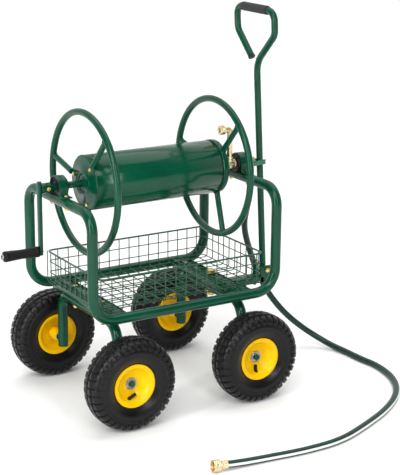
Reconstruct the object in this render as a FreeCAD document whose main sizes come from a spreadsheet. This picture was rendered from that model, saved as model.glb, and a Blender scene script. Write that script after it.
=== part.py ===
import FreeCAD, Part

import math
import os
import re

import Sketcher

from FreeCAD import Placement, Rotation, Vector

# Four-wheel garden hose reel cart.  Millimetres, +Z up, floor at Z = 0.
# +X points the way the cart is pulled, so the crank is at -X and the pull handle at +X.
# The origin is on the floor, under the middle of the cart without its leader hose.

doc = FreeCAD.newDocument("hose_reel_cart")

# ---------------------------------------------------------------- driving dimensions
SIZES = (
    # wheels and axles
    ("tyre_radius", 127), ("tyre_half_width", 41), ("bead_radius", 51), ("rim_lip_radius", 60),
    ("rim_half_width", 29), ("hub_radius", 17.5), ("hub_bush_radius", 14), ("hub_inner", 48),
    ("hub_outer", 4), ("axle_radius", 8), ("axle_clearance", 0.06), ("wheel_y", 232),
    ("rear_axle_x", -166), ("front_axle_x", 228), ("leg_y", 165), ("leg_foot_z", 105),
    ("beam_z", 265.5), ("beam_bend", 50), ("steer_gap", 0.3),
    ("shoulder_radius", 13), ("washer_radius", 17), ("washer_thick", 3), ("cotter_radius", 1.6),
    ("cotter_length", 27), ("end_play", 0.3),
    # hexagon fasteners, M6, M8 and M16: corner radius, head height, nut height
    ("small_hex", 6), ("small_head", 4), ("small_nut", 5),
    ("middle_hex", 7.5), ("middle_head", 5.3), ("middle_nut", 6.5),
    ("large_hex", 13.5), ("large_head", 9), ("large_nut", 10.5), ("nut_tail", 1.5),
    # frame
    ("tube_radius", 14.3), ("tube_wall", 2), ("rear_end_x", -250), ("front_end_x", 321),
    ("rail_y", 190), ("rail_z", 294.5), ("top_z", 585), ("top_bend", 50), ("rail_bend", 64),
    ("swage_x", -167), ("swage_length", 25), ("crossbar_half", 25), ("crossbar_depth", 25),
    ("plate_thick", 3), ("beam_bolt_y", 82.5), ("bolt_radius", 4), ("king_radius", 8),
    ("king_washer_radius", 17), ("king_washer_thick", 2.5), ("king_bush_radius", 16),
    # basket
    ("basket_x", -215), ("basket_length", 516), ("basket_half_width", 163),
    ("basket_height", 95), ("basket_wire", 3.5), ("king_window", 19), ("bolt_window", 9),
    # reel
    ("reel_z", 621.5), ("ring_radius", 191), ("ring_tube", 9.5), ("spoke_tube", 8),
    ("rear_ring_x", -175), ("front_ring_x", 232), ("reel_phase", 13),
    ("drum_radius", 75), ("drum_wall", 2), ("drum_start_x", -173), ("drum_end_x", 221),
    ("cup_depth", 19), ("shaft_radius", 9.5), ("shaft_clearance", 0.06),
    ("plate_bolt_circle", 59), ("plate_bolt_radius", 3), ("plate_bolt_length", 16),
    # crank
    ("crank_x", -307), ("crank_throw", 171), ("crank_width", 15), ("crank_thick", 9),
    ("crank_above", 20), ("crank_below", 12), ("collar_wall", 4.5), ("collar_length", 28),
    ("cross_bolt_inset", 16), ("cross_bolt_radius", 3),
    ("grip_radius", 14), ("grip_length", 103), ("grip_axle_radius", 5), ("grip_gap", 1),
    ("grip_head_radius", 8), ("grip_head_length", 3.5),
    # bearings
    ("strap_width", 26), ("strap_thick", 3), ("strap_radius", 30), ("strap_foot", 56),
    ("strap_bolt_y", 43), ("strap_bolt_radius", 3), ("flange_radius", 24.5), ("flange_thick", 5),
    # brass
    ("outlet_x", 286), ("outlet_height", 100), ("outlet_pipe", 7.5), ("outlet_reach", 34),
    ("outlet_wall", 1.5), ("outlet_bend", 12), ("outlet_seat", 12), ("tee_radius", 13.5), ("tee_half", 13),
    ("thread_radius", 13.2), ("thread_length", 14), ("inlet_x", 359), ("inlet_radius", 12.5),
    ("corner_radius", 14.5), ("drop_radius", 11), ("water_radius", 6),
    ("inlet_drop", 31), ("ferrule_radius", 10.5), ("ferrule_length", 24),
    # pull handle
    ("pivot_x", 408), ("pivot_z", 293), ("handle_lean", 3.2), ("handle_tube", 9.5),
    ("handle_wall", 1.6), ("pivot_bolt_radius", 4), ("ear_gap", 17), ("ear_thick", 5),
    ("ear_length", 34), ("ear_ahead", 13), ("tongue_half", 22), ("tongue_depth", 18),
    ("foam_radius", 12.5), ("foam_length", 124),
    ("loop_half", 93), ("loop_neck", 612), ("loop_top", 765), ("loop_shoulder", 700),
    ("loop_end_y", 27), ("loop_end_z", 627), ("plug_thick", 4), ("spacer_radius", 9),
    # leader hose
    ("hose_radius", 9.2), ("coupling_radius", 15.5), ("coupling_length", 21),
    ("hose_ferrule_length", 20),
)
sheet = doc.addObject("Spreadsheet::Sheet", "dims")
dim = {}
for row, (name, value) in enumerate(SIZES, start=1):
    sheet.set("A%d" % row, name)
    sheet.set("B%d" % row, str(value))
    sheet.setAlias("B%d" % row, name)
    dim[name] = float(value)
doc.recompute()

probe = doc.addObject("App::FeaturePython", "probe")
probe.addProperty("App::PropertyFloat", "Result")


# ---------------------------------------------------------------- building helpers
def with_sheet_name(word):
    """The sheet's name before an alias; any other word stays as it is."""
    return "dims." + word.group(0) if word.group(0) in dim else word.group(0)


def formula(text):
    """Write text as FreeCAD's expressions want it."""
    return re.sub(r"[a-z][a-z_]*", with_sheet_name, str(text))


def amount(text):
    """The value of an expression in sheet aliases."""
    if not re.search("[a-z]", str(text)):
        return float(text)
    probe.setExpression("Result", formula(text))
    probe.recompute()
    return float(probe.Result)


def bind(thing, **sizes):
    for prop, text in sizes.items():
        setattr(thing, prop, amount(text))
        if re.search("[a-z]", str(text)):
            thing.setExpression(prop, formula(text))


def rod(radius, length, start, direction=(0, 0, 1)):
    """Cylinder of the given radius from start, length along direction."""
    thing = doc.addObject("Part::Cylinder", "rod")
    bind(thing, Radius=radius, Height=length)
    thing.Placement = Placement(Vector(*start), Rotation(Vector(0, 0, 1), Vector(*direction)))
    return thing


def block(length, width, height, corner):
    thing = doc.addObject("Part::Box", "block")
    bind(thing, Length=length, Width=width, Height=height)
    thing.Placement = Placement(Vector(*corner), Rotation())
    return thing


def hexagon(across_corners, length, start, direction=(0, 0, 1)):
    """Hexagonal prism, as a bolt head or a nut."""
    thing = doc.addObject("Part::Prism", "hexagon")
    thing.Polygon = 6
    bind(thing, Circumradius=across_corners, Height=length)
    thing.Placement = Placement(Vector(*start), Rotation(Vector(0, 0, 1), Vector(*direction)))
    return thing


def cut(base, *tools):
    for tool in tools:
        result = doc.addObject("Part::Cut", "cut")
        result.Base = base
        result.Tool = tool
        base = result
    return base


def fuse(*things):
    result = doc.addObject("Part::MultiFuse", "fuse")
    result.Shapes = list(things)
    return result


def group(*things):
    """Separate solids that share one node."""
    result = doc.addObject("Part::Compound", "group")
    result.Links = list(things)
    return result


def solid(name, shape):
    """A Part::Feature for a bent tube or another form made with Part's own functions."""
    thing = doc.addObject("Part::Feature", name)
    thing.Shape = shape
    return thing


def drawn_outline(body, role, points):
    """Closed sketch on one of the body's origin planes, each corner bound to the sheet."""
    sketch = body.newObject("Sketcher::SketchObject", "outline")
    plane = [f for f in body.Origin.OriginFeatures if f.Role == role][0]
    sketch.AttachmentSupport = [(plane, "")]
    sketch.MapMode = "FlatFace"
    spots = [Vector(amount(a), amount(b), 0) for a, b in points]
    count = len(spots)
    for i in range(count):
        sketch.addGeometry(Part.LineSegment(spots[i], spots[(i + 1) % count]), False)
    for i in range(count):
        sketch.addConstraint(Sketcher.Constraint("Coincident", i, 2, (i + 1) % count, 1))
    for i, (a, b) in enumerate(points):
        for kind, text, value, axis in (("DistanceX", a, spots[i].x, -2), ("DistanceY", b, spots[i].y, -1)):
            if value == 0:
                sketch.addConstraint(Sketcher.Constraint("PointOnObject", i, 1, axis))
                continue
            number = sketch.addConstraint(Sketcher.Constraint(kind, -1, 1, i, 1, value))
            if re.search("[a-z]", str(text)):
                sketch.setExpression("Constraints[%d]" % number, formula(text))
    return sketch


def turned(points, place):
    """Body of revolution about its own X: each point is (along the axis, radius)."""
    body = doc.addObject("PartDesign::Body", "turned")
    sketch = drawn_outline(body, "XY_Plane", points)
    feature = body.newObject("PartDesign::Revolution", "revolution")
    feature.Profile = sketch
    feature.ReferenceAxis = (sketch, ["H_Axis"])
    feature.Angle = 360
    body.Placement = place
    return body


def padded(points, role, length, place):
    """Body padded to both sides of one of its origin planes."""
    body = doc.addObject("PartDesign::Body", "padded")
    sketch = drawn_outline(body, role, points)
    feature = body.newObject("PartDesign::Pad", "pad")
    feature.Profile = sketch
    bind(feature, Length=length)
    feature.Midplane = True
    body.Placement = place
    return body


def along(direction, at):
    """Placement that turns local X to a direction."""
    return Placement(Vector(*at), Rotation(Vector(1, 0, 0), Vector(*direction)))


def rounded_path(points, radii):
    """Wire of straight runs joined by tangent arcs, one radius for each inner point."""
    edges = []
    last = points[0]
    for i in range(1, len(points) - 1):
        here = points[i]
        back = (points[i - 1] - here).normalize()
        ahead = (points[i + 1] - here).normalize()
        half_turn = (math.pi - back.getAngle(ahead)) / 2
        trim = radii[i - 1] * math.tan(half_turn)
        start = here + back * trim
        end = here + ahead * trim
        inward = (back + ahead).normalize()
        middle = here + inward * (radii[i - 1] / math.cos(half_turn) - radii[i - 1])
        if (start - last).Length > 1e-6:
            edges.append(Part.LineSegment(last, start).toShape())
        edges.append(Part.Arc(start, middle, end).toShape())
        last = end
    edges.append(Part.LineSegment(last, points[-1]).toShape())
    return Part.Wire(edges)


def swept(path, radius, start, direction):
    ring = Part.Wire(Part.makeCircle(radius, start, direction))
    return path.makePipeShell([ring], True, False)


def bent_tube(points, radii, radius, wall=0):
    """Round tube, or bar when wall is 0, along runs and arcs."""
    path = rounded_path(points, radii)
    direction = points[1] - points[0]
    outer = swept(path, radius, points[0], direction)
    if not wall:
        return outer
    return outer.cut(swept(path, radius - wall, points[0], direction))


NODES = []


def node(label, thing, place=None):
    """Name a finished piece, which is one file and one node."""
    thing.Label = label
    if place is not None:
        thing.Placement = place
    NODES.append(thing)
    return thing


SIDES = (("near", -1), ("far", 1))
reel_z = dim["reel_z"]
rail_z = dim["rail_z"]
top_z = dim["top_z"]
tube_radius = dim["tube_radius"]
beam_z = dim["beam_z"]


# ---------------------------------------------------------------- frame tubes
def rail_points(end_x, joint_x):
    """Half of the saddle-shaped loop: one rail, up, across the top, down, the other rail."""
    near, far = -dim["rail_y"], dim["rail_y"]
    return [Vector(joint_x, near, rail_z), Vector(end_x, near, rail_z), Vector(end_x, near, top_z),
            Vector(end_x, far, top_z), Vector(end_x, far, rail_z), Vector(joint_x, far, rail_z)]


frame_bends = [dim["rail_bend"], dim["top_bend"], dim["top_bend"], dim["rail_bend"]]
strap_bolt_tool_length = 2 * tube_radius + 4


def strap_holes(shape, end_x):
    """Drill the top cross-tube for the two bolts of its bearing strap."""
    for side in (-1, 1):
        start = Vector(end_x, side * dim["strap_bolt_y"], top_z - strap_bolt_tool_length / 2)
        drill = Part.makeCylinder(dim["strap_bolt_radius"], strap_bolt_tool_length, start)
        shape = shape.cut(drill)
    return shape


front_tube = bent_tube(rail_points(dim["front_end_x"], dim["swage_x"]), frame_bends,
                       tube_radius, dim["tube_wall"])
node("front_frame_tube", solid("front_frame_tube", strap_holes(front_tube, dim["front_end_x"])))

rear_tube = bent_tube(rail_points(dim["rear_end_x"], dim["swage_x"]), frame_bends,
                      tube_radius, dim["tube_wall"])
# The rear half ends in a swaged spigot, which slides into the front half's rail.
swage_gap = 0.1
spigot_radius = tube_radius - dim["tube_wall"] - swage_gap
spigot_bore = spigot_radius - dim["tube_wall"]
step_length = 3
for side in (-1, 1):
    joint = Vector(dim["swage_x"], side * dim["rail_y"], rail_z)
    forward = Vector(1, 0, 0)
    step = Part.makeCylinder(tube_radius - 1, step_length, joint - forward * step_length, forward)
    spigot = Part.makeCylinder(spigot_radius, dim["swage_length"], joint, forward)
    bore = Part.makeCylinder(spigot_bore, 3 * dim["swage_length"],
                             joint - forward * 2 * step_length, forward)
    rear_tube = rear_tube.fuse(step).fuse(spigot).cut(bore)
node("rear_frame_tube", solid("rear_frame_tube", strap_holes(rear_tube, dim["rear_end_x"])))


# ---------------------------------------------------------------- crossbars
def crossbar(axle_x, hole_radius, hole_spots):
    """Channel, open below, welded between the rails over an axle beam."""
    half_length = dim["rail_y"] - tube_radius
    top = beam_z + tube_radius + dim["crossbar_depth"]
    outer = block("2 * crossbar_half", "2 * (rail_y - tube_radius)", "crossbar_depth",
                  (axle_x - dim["crossbar_half"], -half_length, top - dim["crossbar_depth"]))
    inner = block("2 * (crossbar_half - plate_thick)", "2 * (rail_y - tube_radius)",
                  "crossbar_depth - plate_thick",
                  (axle_x - dim["crossbar_half"] + dim["plate_thick"], -half_length,
                   top - dim["crossbar_depth"]))
    drills = [rod(hole_radius, "2 * crossbar_depth", (axle_x, y, top - dim["crossbar_depth"]))
              for y in hole_spots]
    return cut(outer, inner, *drills)


crossbar_top = beam_z + tube_radius + dim["crossbar_depth"]
bolt_spots = (-dim["beam_bolt_y"], dim["beam_bolt_y"])
node("rear_crossbar", crossbar(dim["rear_axle_x"], "bolt_radius", bolt_spots))
node("front_crossbar", crossbar(dim["front_axle_x"], "king_radius", (0,)))


# ---------------------------------------------------------------- axle beams, stubs, fasteners
def axle_beam(axle_x, centre_z, hole_radius, hole_spots):
    """Bent tube: across under the crossbar, then down inside each wheel."""
    side = dim["leg_y"]
    shape = bent_tube([Vector(axle_x, -side, dim["leg_foot_z"]), Vector(axle_x, -side, centre_z),
                       Vector(axle_x, side, centre_z), Vector(axle_x, side, dim["leg_foot_z"])],
                      [dim["beam_bend"]] * 2, tube_radius, dim["tube_wall"])
    for y in hole_spots:
        shape = shape.cut(Part.makeCylinder(hole_radius, 4 * tube_radius,
                                            Vector(axle_x, y, centre_z - 2 * tube_radius)))
    stub_hole = Part.makeCylinder(dim["axle_radius"], 4 * side,
                                  Vector(axle_x, -2 * side, dim["tyre_radius"]), Vector(0, 1, 0))
    return solid("beam", shape.cut(stub_hole))


AXLE_TIP = dim["wheel_y"] + 15
COTTER_Y = AXLE_TIP - 4.5
COTTER_WAY = (0.45, 0, -0.89)
COTTER_HEAD = 3


def stub_axles(axle_x):
    """One short axle on each side, with a shoulder that keeps the hub off the leg."""
    inner = dim["leg_y"] - tube_radius
    shoulder = dim["wheel_y"] - dim["hub_inner"] - dim["end_play"]
    pieces = []
    for _, side in SIDES:
        stub = turned([(0, 0), (AXLE_TIP - inner, 0), (AXLE_TIP - inner, "axle_radius - 1"),
                       (AXLE_TIP - inner - 1, "axle_radius"), (shoulder - inner, "axle_radius"),
                       (shoulder - inner, "shoulder_radius"), (2 * tube_radius, "shoulder_radius"),
                       (2 * tube_radius, "axle_radius"), (0, "axle_radius")],
                      along((0, side, 0), (axle_x, side * inner, dim["tyre_radius"])))
        drill = rod("cotter_radius", "cotter_length", cotter_start(axle_x, side), COTTER_WAY)
        pieces.append(cut(stub, drill))
    return group(*pieces)


def cotter_start(axle_x, side):
    way = Vector(*COTTER_WAY).normalize() * (COTTER_HEAD - dim["cotter_length"] / 2)
    return (axle_x + way.x, side * COTTER_Y, dim["tyre_radius"] + way.z)


def axle_washers(axle_x):
    start = dim["wheel_y"] + dim["hub_outer"] + dim["end_play"]
    pieces = []
    for _, side in SIDES:
        washer = turned([(0, "axle_radius"), (0, "washer_radius"), ("washer_thick", "washer_radius"),
                         ("washer_thick", "axle_radius")],
                        along((0, side, 0), (axle_x, side * start, dim["tyre_radius"])))
        pieces.append(washer)
    return group(*pieces)


def cotter_pins(axle_x):
    return group(*[rod("cotter_radius", "cotter_length", cotter_start(axle_x, side), COTTER_WAY)
                   for _, side in SIDES])


front_beam_z = beam_z - dim["steer_gap"]
node("rear_axle_beam", axle_beam(dim["rear_axle_x"], beam_z, dim["bolt_radius"], bolt_spots))
node("front_axle_beam", axle_beam(dim["front_axle_x"], front_beam_z,
                                  dim["king_radius"] + dim["axle_clearance"], (0,)))
for end, axle_x in (("rear", dim["rear_axle_x"]), ("front", dim["front_axle_x"])):
    node(end + "_stub_axles", stub_axles(axle_x))
    node(end + "_axle_washers", axle_washers(axle_x))
    node(end + "_cotter_pins", cotter_pins(axle_x))

beam_under = beam_z - tube_radius
shank_start = beam_under - dim["middle_nut"] - dim["nut_tail"]
bolt_solids = []
for y in bolt_spots:
    shank = rod("bolt_radius", crossbar_top - shank_start, (dim["rear_axle_x"], y, shank_start))
    head = hexagon("middle_hex", "middle_head", (dim["rear_axle_x"], y, crossbar_top))
    bolt_solids.append(fuse(shank, head))
    nut_start = beam_under - dim["middle_nut"]
    nut = cut(hexagon("middle_hex", "middle_nut", (dim["rear_axle_x"], y, nut_start)),
              rod("bolt_radius", "3 * middle_nut", (dim["rear_axle_x"], y, nut_start - dim["middle_nut"])))
    bolt_solids.append(nut)
node("rear_beam_bolts", group(*bolt_solids))

# The king pin hangs the front beam: head below the beam, washer and nut on the crossbar.
king_x = dim["front_axle_x"]
king_under = front_beam_z - tube_radius - 0.4
king_washer_top = crossbar_top + dim["king_washer_thick"]
king_end = king_washer_top + dim["large_nut"] + dim["nut_tail"]
king_bolt = fuse(rod("king_radius", king_end - king_under, (king_x, 0, king_under)),
                 hexagon("large_hex", "large_head", (king_x, 0, king_under - dim["large_head"])))
king_clear = rod("king_radius", "4 * large_nut", (king_x, 0, crossbar_top - dim["large_nut"]))
king_washer = cut(rod("king_washer_radius", "king_washer_thick", (king_x, 0, crossbar_top)), king_clear)
king_nut = cut(hexagon("large_hex", "large_nut", (king_x, 0, king_washer_top)), king_clear)
node("king_pin", group(king_bolt, king_washer, king_nut))
thrust_height = dim["crossbar_depth"] - dim["plate_thick"]
node("king_pin_bushing", cut(rod("king_bush_radius", thrust_height, (king_x, 0, beam_z + tube_radius)),
                             rod("king_radius", 2 * thrust_height, (king_x, 0, beam_z))))


# ---------------------------------------------------------------- wheels
# Sections are closed outlines of (distance along the axle, radius), from the inner side out.
def tyre(place):
    """Pneumatic tyre: beads, rounded sidewalls and crown, with its air space."""
    return turned([(-26.5, "bead_radius"), (-26.5, "rim_lip_radius"), (-31, 65), (-37, 75),
                   ("-tyre_half_width", 88), ("-tyre_half_width", 101), (-36, 114), (-27, 123),
                   (-14, "tyre_radius"), (14, "tyre_radius"), (27, 123), (36, 114),
                   ("tyre_half_width", 101), ("tyre_half_width", 88), (37, 75), (31, 65),
                   (26.5, "rim_lip_radius"), (26.5, "bead_radius"), (19, "bead_radius"),
                   (21, 62), (30, 78), (34, 90), (34, 99), (29, 108), (21, 115), (10, 118.5),
                   (-10, 118.5), (-21, 115), (-29, 108), (-34, 99), (-34, 90), (-30, 78),
                   (-21, 62), (-19, "bead_radius")], place)


def rim(place):
    """Pressed drop-centre rim with a disc at its middle and an offset hub tube."""
    return turned([("-hub_inner", "hub_bush_radius"), ("hub_outer", "hub_bush_radius"),
                   ("hub_outer", "hub_radius"), (1.5, "hub_radius"), (1.5, 41), (13, 41), (17, 48.5),
                   ("rim_half_width", 48.5), ("rim_half_width", "rim_lip_radius"),
                   ("rim_half_width - 2.3", "rim_lip_radius"), ("rim_half_width - 2.3", "bead_radius - 0.2"),
                   (15, "bead_radius - 0.2"), (11, 43.5), (-11, 43.5), (-15, "bead_radius - 0.2"),
                   ("2.3 - rim_half_width", "bead_radius - 0.2"), ("2.3 - rim_half_width", "rim_lip_radius"),
                   ("-rim_half_width", "rim_lip_radius"), ("-rim_half_width", 48.5), (-17, 48.5),
                   (-13, 41), (-1.5, 41), (-1.5, "hub_radius"), ("-hub_inner", "hub_radius")], place)


def hub_bushings(place):
    """A flanged plastic bush pressed into each end of the hub tube."""
    spans = (("-hub_inner", "-hub_inner + 16"), ("hub_outer - 16", "hub_outer"))
    return group(*[turned([(low, "axle_radius + axle_clearance"), (high, "axle_radius + axle_clearance"),
                           (high, "hub_bush_radius"), (low, "hub_bush_radius")], place)
                   for low, high in spans])


for end, axle_x in (("rear", dim["rear_axle_x"]), ("front", dim["front_axle_x"])):
    for side_name, side in SIDES:
        place = along((0, side, 0), (axle_x, side * dim["wheel_y"], dim["tyre_radius"]))
        wheel = "_%s_%s" % (end, side_name)
        node("tyre" + wheel, tyre(place))
        node("rim" + wheel, rim(place))
        node("hub_bushings" + wheel, hub_bushings(place))

# ---------------------------------------------------------------- wire basket
basket_floor = crossbar_top
basket_outer = block("basket_length", "2 * basket_half_width", "basket_height",
                     (dim["basket_x"], -dim["basket_half_width"], basket_floor))
basket_inner = block("basket_length - 2 * basket_wire", "2 * (basket_half_width - basket_wire)",
                     "basket_height", (dim["basket_x"] + dim["basket_wire"],
                                       dim["basket_wire"] - dim["basket_half_width"],
                                       basket_floor + dim["basket_wire"]))
# The floor wires stand clear of the king pin nut and of the bolt heads.
bolt_windows = [rod("king_window", 20, (king_x, 0, basket_floor - 5))]
bolt_windows += [rod("bolt_window", 20, (dim["rear_axle_x"], y, basket_floor - 5)) for y in bolt_spots]
node("wire_basket", cut(basket_outer, basket_inner, *bolt_windows))


# ---------------------------------------------------------------- reel bearings
def bearing_strap(end_x):
    """Omega strap over the bushing, with a bolted foot each side, on the top cross-tube."""
    base = top_z + tube_radius
    rise = reel_z - base
    arch = rod("strap_radius", "strap_width", (end_x - dim["strap_width"] / 2, 0, reel_z), (1, 0, 0))
    legs = block("strap_width", "2 * strap_radius", rise,
                 (end_x - dim["strap_width"] / 2, -dim["strap_radius"], base))
    feet = block("strap_width", "2 * strap_foot", "strap_thick",
                 (end_x - dim["strap_width"] / 2, -dim["strap_foot"], base))
    clear_arch = rod("strap_radius - strap_thick", 60, (end_x - 30, 0, reel_z), (1, 0, 0))
    clear_legs = block(60, "2 * (strap_radius - strap_thick)", 40,
                       (end_x - 30, dim["strap_thick"] - dim["strap_radius"], reel_z - 40))
    below = block(60, 140, 40, (end_x - 30, -70, base - 40))
    drills = [rod("strap_bolt_radius", 30, (end_x, side * dim["strap_bolt_y"], base - 5)) for side in (-1, 1)]
    return cut(fuse(arch, legs, feet), clear_arch, clear_legs, below, *drills)


def shaft_bushing(end_x, flange_start):
    """Black plastic block in the strap, flat below, with a round flange beside the strap."""
    base = top_z + tube_radius
    core = rod("strap_radius - strap_thick", "strap_width",
               (end_x - dim["strap_width"] / 2, 0, reel_z), (1, 0, 0))
    flange = rod("flange_radius", "flange_thick", (flange_start, 0, reel_z), (1, 0, 0))
    below = block(80, 140, 40, (end_x - 40, -70, base - 40))
    bore = rod("shaft_radius + shaft_clearance", 80, (end_x - 40, 0, reel_z), (1, 0, 0))
    return cut(fuse(core, flange), below, bore)


for end, end_x, flange_side in (("rear", dim["rear_end_x"], 1), ("front", dim["front_end_x"], -1)):
    half = dim["strap_width"] / 2
    flange_start = end_x + half if flange_side > 0 else end_x - half - dim["flange_thick"]
    node(end + "_bearing_strap", bearing_strap(end_x))
    node(end + "_shaft_bushing", shaft_bushing(end_x, flange_start))

strap_solids = []
strap_foot_top = top_z + tube_radius + dim["strap_thick"]
tube_under = top_z - tube_radius
strap_nut_start = tube_under - dim["small_nut"]
strap_shank_start = strap_nut_start - dim["nut_tail"]
for end_x in (dim["rear_end_x"], dim["front_end_x"]):
    for side in (-1, 1):
        y = side * dim["strap_bolt_y"]
        shank = rod("strap_bolt_radius", strap_foot_top - strap_shank_start, (end_x, y, strap_shank_start))
        strap_solids.append(fuse(shank, hexagon("small_hex", "small_head", (end_x, y, strap_foot_top))))
        nut = cut(hexagon("small_hex", "small_nut", (end_x, y, strap_nut_start)),
                  rod("strap_bolt_radius", "3 * small_nut", (end_x, y, strap_nut_start - dim["small_nut"])))
        strap_solids.append(nut)
node("strap_bolts", group(*strap_solids))

# ---------------------------------------------------------------- reel
drum_length = "drum_end_x - drum_start_x"
node("drum_barrel", turned([(0, "drum_radius - drum_wall"), (0, "drum_radius"),
                            (drum_length, "drum_radius"), (drum_length, "drum_radius - drum_wall")],
                           along((1, 0, 0), (dim["drum_start_x"], 0, reel_z))))


# Pressed face of a drum plate: hub, raised boss and flat, as (outward, radius).
PLATE_FACE = [(0, "shaft_radius"), (9, "shaft_radius"), (9, 17), (6, 20), (6, 31), (3, 34), (3, 70)]


def plate_holes(plate, face_x, length):
    turn = math.radians(dim["reel_phase"])
    drills = []
    for k in range(3):
        angle = turn + k * 2 * math.pi / 3
        y = dim["plate_bolt_circle"] * math.cos(angle)
        z = reel_z + dim["plate_bolt_circle"] * math.sin(angle)
        drills.append(rod("plate_bolt_radius", length, (face_x - length / 2, y, z), (1, 0, 0)))
    return cut(plate, *drills)


rear_plate = turned(PLATE_FACE + [(2.5, "drum_radius + 1"), (-1.5, "drum_radius + 1"),
                                  (-1.5, "drum_radius"), (0, "drum_radius")],
                    along((-1, 0, 0), (dim["drum_start_x"], 0, reel_z)))
node("rear_drum_plate", plate_holes(rear_plate, dim["drum_start_x"], 40))
# The front plate is a deeper cup, whose skirt butts against the end of the barrel.
cap_x = dim["drum_end_x"] + dim["cup_depth"] - dim["plate_thick"]
skirt = "plate_thick - cup_depth"
front_plate = turned(PLATE_FACE + [(0, "drum_radius + 1"), (skirt, "drum_radius + 1"),
                                   (skirt, "drum_radius - 1.5"), (0, "drum_radius - 1.5")],
                     along((1, 0, 0), (cap_x, 0, reel_z)))
node("front_drum_plate", plate_holes(front_plate, cap_x, 40))

plate_bolts = []
for face_x, way in ((dim["drum_start_x"] - dim["plate_thick"], -1), (cap_x + dim["plate_thick"], 1)):
    for k in range(3):
        angle = math.radians(dim["reel_phase"]) + k * 2 * math.pi / 3
        y = dim["plate_bolt_circle"] * math.cos(angle)
        z = reel_z + dim["plate_bolt_circle"] * math.sin(angle)
        shank = rod("plate_bolt_radius", "plate_bolt_length", (face_x, y, z), (-way, 0, 0))
        plate_bolts.append(fuse(shank, hexagon("small_hex", "small_head", (face_x, y, z), (way, 0, 0))))
node("drum_plate_bolts", group(*plate_bolts))


def ring_flange(ring_x):
    """Tube ring and three tube spokes that end on the drum."""
    centre = Vector(ring_x, 0, reel_z)
    shape = Part.makeTorus(dim["ring_radius"], dim["ring_tube"], centre, Vector(1, 0, 0))
    for k in range(3):
        angle = math.radians(dim["reel_phase"]) + k * 2 * math.pi / 3
        way = Vector(0, math.cos(angle), math.sin(angle))
        start = centre + way * (dim["drum_radius"] - 2)
        shape = shape.fuse(Part.makeCylinder(dim["spoke_tube"], dim["ring_radius"] - dim["drum_radius"] + 2,
                                             start, way))
    hollow = Part.makeCylinder(dim["drum_radius"] + 1, 60, Vector(ring_x - 30, 0, reel_z), Vector(1, 0, 0))
    return shape.cut(hollow)


node("rear_ring", solid("rear_ring", ring_flange(dim["rear_ring_x"])))
node("front_ring", solid("front_ring", ring_flange(dim["front_ring_x"])))


# ---------------------------------------------------------------- crank
hub_start = dim["outlet_x"] - dim["tee_half"]
collar_start = dim["crank_x"] + dim["crank_thick"] / 2
cross_bolt_x = collar_start + dim["cross_bolt_inset"]
collar_radius = dim["shaft_radius"] + dim["collar_wall"]
cross_drill = rod("cross_bolt_radius", 60, (cross_bolt_x, -30, reel_z), (0, 1, 0))
collar = cut(rod(collar_radius, "collar_length", (collar_start, 0, reel_z), (1, 0, 0)),
             rod("shaft_radius", "collar_length", (collar_start, 0, reel_z), (1, 0, 0)), cross_drill)
arm = block("crank_thick", "crank_width", "crank_above + crank_throw + crank_below",
            (dim["crank_x"] - dim["crank_thick"] / 2, -dim["crank_width"] / 2,
             reel_z - dim["crank_throw"] - dim["crank_below"]))
arm_hole = rod("grip_axle_radius", 40, (dim["crank_x"] - 20, 0, reel_z - dim["crank_throw"]), (1, 0, 0))
node("crank_arm", fuse(cut(arm, arm_hole), collar))
shaft = rod("shaft_radius", hub_start - collar_start, (collar_start, 0, reel_z), (1, 0, 0))
node("reel_shaft", cut(shaft, cross_drill))
cross_bolt_end = collar_radius + dim["small_nut"] + dim["nut_tail"]
cross_bolt = fuse(rod("cross_bolt_radius", collar_radius + cross_bolt_end,
                      (cross_bolt_x, -collar_radius, reel_z), (0, 1, 0)),
                  hexagon("small_hex", "small_head", (cross_bolt_x, -collar_radius, reel_z), (0, -1, 0)))
cross_nut = cut(hexagon("small_hex", "small_nut", (cross_bolt_x, collar_radius, reel_z), (0, 1, 0)),
                cross_drill)
node("crank_cross_bolt", group(cross_bolt, cross_nut))

grip_z = reel_z - dim["crank_throw"]
grip_start = dim["crank_x"] - dim["crank_thick"] / 2 - dim["grip_gap"]
grip_head = grip_start - dim["grip_length"] - 2
grip_axle = fuse(rod("grip_axle_radius", dim["crank_x"] + dim["crank_thick"] / 2 + 2 - grip_head,
                     (grip_head, 0, grip_z), (1, 0, 0)),
                 rod("grip_head_radius", "grip_head_length", (grip_head, 0, grip_z), (-1, 0, 0)))
node("grip_axle", grip_axle)
node("crank_grip", turned([(0, "grip_axle_radius + 0.06"), (0, "grip_radius - 1.5"), (3, "grip_radius + 1"),
                           (8, "grip_radius"), (30, "grip_radius - 1"), (60, "grip_radius"),
                           (88, "grip_radius + 1"), ("grip_length - 3", "grip_radius"),
                           ("grip_length - 0.5", "grip_radius - 4"),
                           ("grip_length - 0.5", "grip_axle_radius + 0.06")],
                          along((-1, 0, 0), (grip_start, 0, grip_z))))

# ---------------------------------------------------------------- brass water way
hub_end = dim["front_end_x"] - dim["strap_width"] / 2 - dim["flange_thick"] - 0.5
journal_end = dim["inlet_x"] - 6
hub = fuse(rod("tee_radius", hub_end - hub_start, (hub_start, 0, reel_z), (1, 0, 0)),
           rod("shaft_radius", journal_end - hub_start, (hub_start, 0, reel_z), (1, 0, 0)),
           rod("outlet_pipe + 3.5", 20, (dim["outlet_x"], 0, reel_z), (0, 0, 1)))
water_way = rod("water_radius", journal_end - dim["outlet_x"], (dim["outlet_x"], 0, reel_z), (1, 0, 0))
pipe_seat = rod("outlet_pipe", 20, (dim["outlet_x"], 0, reel_z + dim["outlet_seat"]), (0, 0, 1))
node("outlet_hub", cut(hub, water_way, pipe_seat))

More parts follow.
